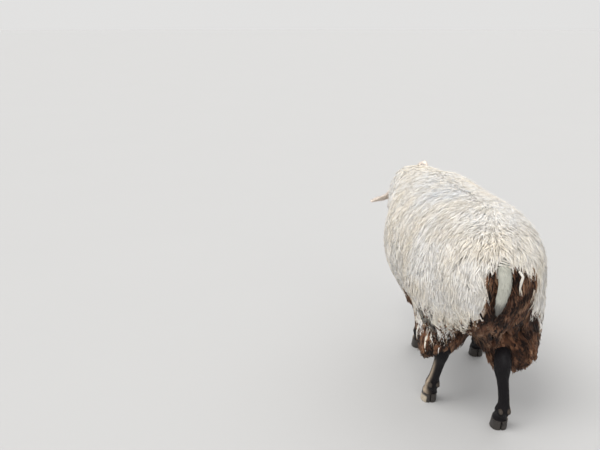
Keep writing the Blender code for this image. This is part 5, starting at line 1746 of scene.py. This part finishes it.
def hairy(points, normals):
    """Where hair grows on the head: all but eyes and nostrils."""
    along, out, up = to_head(points).T
    wide, high = BARE_EYE
    eyes = np.exp(-(((along - EYE_PLACE[0]) / wide) ** 2 + ((up - EYE_PLACE[2]) / high) ** 2)) > 0.37
    nose = np.linalg.norm(np.column_stack([along, np.abs(out), up]) - NOSTRIL, axis=1) < BARE_NOSE
    return 1.0 * ~(eyes | nose)


def dress_head(bare_head, tree, hair, fleece, draw):
    """Short hair all over the head, curly wool on its poll, and wool that joins it to the neck."""
    spacing, longest, shorter, half, lift = FACE_HAIR
    bare = bpy.data.objects.new("bare_head", bare_head)
    bpy.context.scene.collection.objects.link(bare)
    places, normals = spread(bare, spacing, draw, hairy)
    bpy.data.objects.remove(bare)
    along, out, up = to_head(places).T
    to_nose, to_left, upward = (np.array(axis) for axis in head_axes())
    ways = to_nose + to_left * (np.sign(out) * 0.35)[:, None] - upward * 0.25
    length = longest - shorter * ease(0.10, 0.19, along)
    made = tufts("face_hair", places, normals, ways, length, half, lift, np.column_stack(head_marks(places)),
                 head_unwrap(along, out, -up), hair, draw)
    made += poll_wool(places, normals, tree, hair, draw)
    made += crown_wool(places, normals, fleece, draw)
    return made


def poll_wool(places, normals, tree, material, draw):
    """Curly wool over the poll and down the forehead and cheeks."""
    along, out, up = to_head(places).T
    keep = (along < POLL_ENDS) & (draw.random(len(places)) < POLL_SHARE)
    roots, outs, along, out = places[keep], normals[keep], along[keep], out[keep]
    count = len(roots)
    to_nose, to_left, upward = (np.array(axis) for axis in head_axes())
    ways = to_nose * 0.9 + to_left * (np.tanh(out / 0.01) * 0.6)[:, None] - upward * 0.3
    ways = turned(laid(ways, outs), outs, draw.normal(0, 0.35, count))
    styles = np.tile(POLL_WOOL, (count, 1))
    styles[:, 0] *= draw.uniform(0.6, 1.1, count) * (1.1 - 0.7 * ease(0.03, 0.075, along))
    lines, facing = walk(roots, outs, ways, styles, tree)
    share = np.array(LOCK_STEPS)[None]
    thick = POLL_DEPTH * (1.15 - ease(0.02, 0.08, along))[:, None]
    height = thick * np.clip(share / 0.25, 0, 1) * draw.uniform(0.25, 1.1, (count, 1))
    wave = 2 * math.pi * styles[:, :1] * share / styles[:, 5:6] + draw.uniform(0, 2 * math.pi, (count, 1))
    lines = wavy(lines, facing, height, styles[:, 4:5], wave, 0.6)
    colours = np.empty((count, len(LOCK_STEPS), 4))
    colours[..., 0], colours[..., 1] = share, draw.random((count, 1))
    colours[..., 2] = 0.0
    colours[..., 3] = np.clip(0.95 - 0.55 * ease(0.03, 0.075, along), 0, 1)[:, None] * (0.45 + 0.55 * share)
    twists = draw.uniform(0, 6.28, (count, 1)) + share * 2.0
    sizes = lock_sizes(LOCK, styles[:, 1:2], styles[:, 2:3])
    return tubes("poll_wool", lines, facing, sizes, twists, colours, head_unwrap(along, out, 0.02), material)


def crown_wool(places, normals, material, draw):
    """Ivory wool that joins the poll to the neck: it lies back over the front edge of the fleece."""
    along, out, up = to_head(places).T
    keep = (along < 0.030) & (up > -0.035)
    roots, outs, along = places[keep], normals[keep], along[keep]
    backward = -np.array(head_axes()[0])
    lift = 0.005 + 0.013 * ease(0.030, 0.005, along)
    made = []
    for name, lean, length in CROWN_WOOL:
        ways = unit(backward * lean + draw.normal(0, 0.25, (len(roots), 3)))
        made += tufts(name, roots, outs, ways, length, CROWN_HALF, lift, np.zeros((len(roots), 2)),
                      head_unwrap(along, 0 * along, 1.0), material, draw)
    return made


def dress_ear(side, word, material, draw):
    """Short hair on the back of an ear and a longer fringe on its rim."""
    count, shortest, longer, half, lift = EAR_HAIR
    rings, marks = ear_rings(side)
    normals = ring_normals(rings)
    _, points, _, across = ear_frame(side)
    r, k = draw.integers(6, EAR_RINGS - 1, count), draw.integers(0, rings.shape[1], count)
    kept = (marks[r, k, 2] < 0.5) | (np.abs(marks[r, k, 1]) > 0.80)
    r, k = r[kept], k[kept]
    own = marks[r, k]
    roots = rings[r, k] + draw.normal(0, EAR_JITTER, (len(r), 3)) - normals[r, k] * 0.0004
    rim = ear_rim(own)
    ways = points + across * (own[:, 1] * 0.35)[:, None]
    length = (shortest + longer * rim) * (1 - 0.6 * ease(0.80, 0.95, own[:, 0]))
    made = tufts("ear_" + word + "_hair", roots, normals[r, k], ways, length, half, lift,
                 np.column_stack([0 * rim, np.clip(0.35 + rim, 0, 1)]),
                 in_tile("ear_" + word, (own[:, 1] + 1) / 2, own[:, 0]), material, draw, 0.0)
    return made


# Eyes and hooves


def make_eye(side, word, material):
    """An eyeball in its socket, with the axes of its own frame along its slit, up and outwards."""
    looks, slit, rise = eye_axes(side)
    made = mesh_object("eyeball_" + word, *ball((0, 0, 0), Matrix.Identity(3) * EYE_RADIUS, 48, 32))
    face_out(made)
    turn = Matrix((slit, rise, looks)).transposed().to_4x4()
    made.matrix_world = Matrix.Translation(STANDS_AT + in_head(*EYE_PLACE, side)) @ turn
    made.data.materials.append(material)
    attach(made, "root")
    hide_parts("eye_" + word)


def make_hoof(leg, material):
    """The two claws of a foot, with the height and the pale toe marked; the left hind one has a pale claw."""
    way = outward(leg)
    made = face_out(mesh_object(leg + "_hoof", *merge([claw(leg, way), claw(leg, -way)])))
    made.data.shade_smooth()
    made.data.set_sharp_from_angle(angle=math.radians(48))
    x, y, z = vertex_places(made).T
    coronet, foot = LEGS[leg][4:]
    toe = (x - foot[0]) / CLAW_SOLE[0] + 0.5
    toe *= 0.72 * ease(0.04, 0.0, z)
    if leg == "hind_left":
        toe = np.maximum(toe, ease(0.004, 0.016, y - foot[1]) * ease(0.030, 0.018, z))
    set_vector(made, "horn", np.column_stack([toe, y, z / coronet[2]]))
    made.data.materials.append(material)
    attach(made, "root")
    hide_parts(leg + "_claw_outer", leg + "_claw_inner")


# Floor, light and camera

CAMERA_AT = Vector((-2.4408, 0.5616, 1.06))
CAMERA_LOOKS = Vector((0.9704, -0.0509, -0.2359))
LENS = 52.2
SENSOR = 36.0
SUNS = (
    ("key", (-1.6, 1.5, 3.2), 32, 2.05, (1.0, 0.985, 0.96)),
    ("fill", (-3.0, 0.3, 1.1), 60, 1.4, (1.0, 0.99, 0.975)),
    ("back", (2.4, -1.0, 2.2), 60, 0.8, (1.0, 1.0, 1.0)),
)
SKY_STRENGTH = 0.80


def studio():
    """A plain pale floor, a soft pale surround, three wide suns and the camera of the photograph."""
    bpy.ops.mesh.primitive_circle_add(vertices=96, radius=60.0, fill_type="NGON", location=(0, 0, -0.0004))
    floor = bpy.context.object
    floor.name = "floor"
    floor.data.materials.append(floor_material())
    scene = bpy.context.scene
    world = bpy.data.worlds.new("surround")
    scene.world = world
    world.use_nodes = True
    background = world.node_tree.nodes["Background"]
    background.inputs["Color"].default_value = (0.95, 0.945, 0.937, 1.0)
    background.inputs["Strength"].default_value = SKY_STRENGTH
    for name, place, width, power, tint in SUNS:
        lamp = bpy.data.lights.new(name, "SUN")
        lamp.angle = math.radians(width)
        lamp.energy = power
        lamp.color = tint
        made = bpy.data.objects.new(name, lamp)
        scene.collection.objects.link(made)
        made.location = place
        made.rotation_euler = (-Vector(place)).to_track_quat("-Z", "Y").to_euler()
    lens = bpy.data.cameras.new("camera")
    lens.lens = LENS
    lens.sensor_width = SENSOR
    camera = bpy.data.objects.new("camera", lens)
    scene.collection.objects.link(camera)
    right = CAMERA_LOOKS.cross(Vector((0, 0, 1))).normalized()
    up = right.cross(CAMERA_LOOKS).normalized()
    turn = Matrix((right, up, -CAMERA_LOOKS.normalized())).transposed().to_4x4()
    camera.matrix_world = Matrix.Translation(CAMERA_AT + STANDS_AT) @ turn
    scene.camera = camera
    scene.view_settings.view_transform = "Standard"


def build():
    """Builds all pieces, floor, light and camera."""
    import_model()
    draw = np.random.default_rng(WOOL_SEED + 3)
    fleece = fleece_material("fleece_wool")
    face_hair = hair_material("face_hair", FAWN, MUZZLE_DARK, FACE_PALE)
    leg_hair = hair_material("leg_hair", LEG_DARK, tuple(c * 0.6 for c in LEG_DARK), LEG_TAN, 0.5)
    ear_hair = hair_material("ear_hair", tuple(c * 0.8 for c in EAR_PALE), EAR_INSIDE, EAR_PALE)
    horn, eye = horn_material(), eye_material()

    bare_head, head_tree = make_skin(fleece, leg_hair, face_hair, ear_hair)
    hair = dress_body(fleece) + dress_tail(draw)
    for leg in LEGS:
        hair += dress_leg(leg, leg_hair, draw)
    hair += dress_head(bare_head, head_tree, face_hair, fleece, draw)
    for side, word in SIDES:
        hair += dress_ear(side, word, ear_hair, draw)
    for piece in hair:
        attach(piece, "root")
    for side, word in SIDES:
        make_eye(side, word, eye)
    for leg in LEGS:
        make_hoof(leg, horn)

    studio()


build()
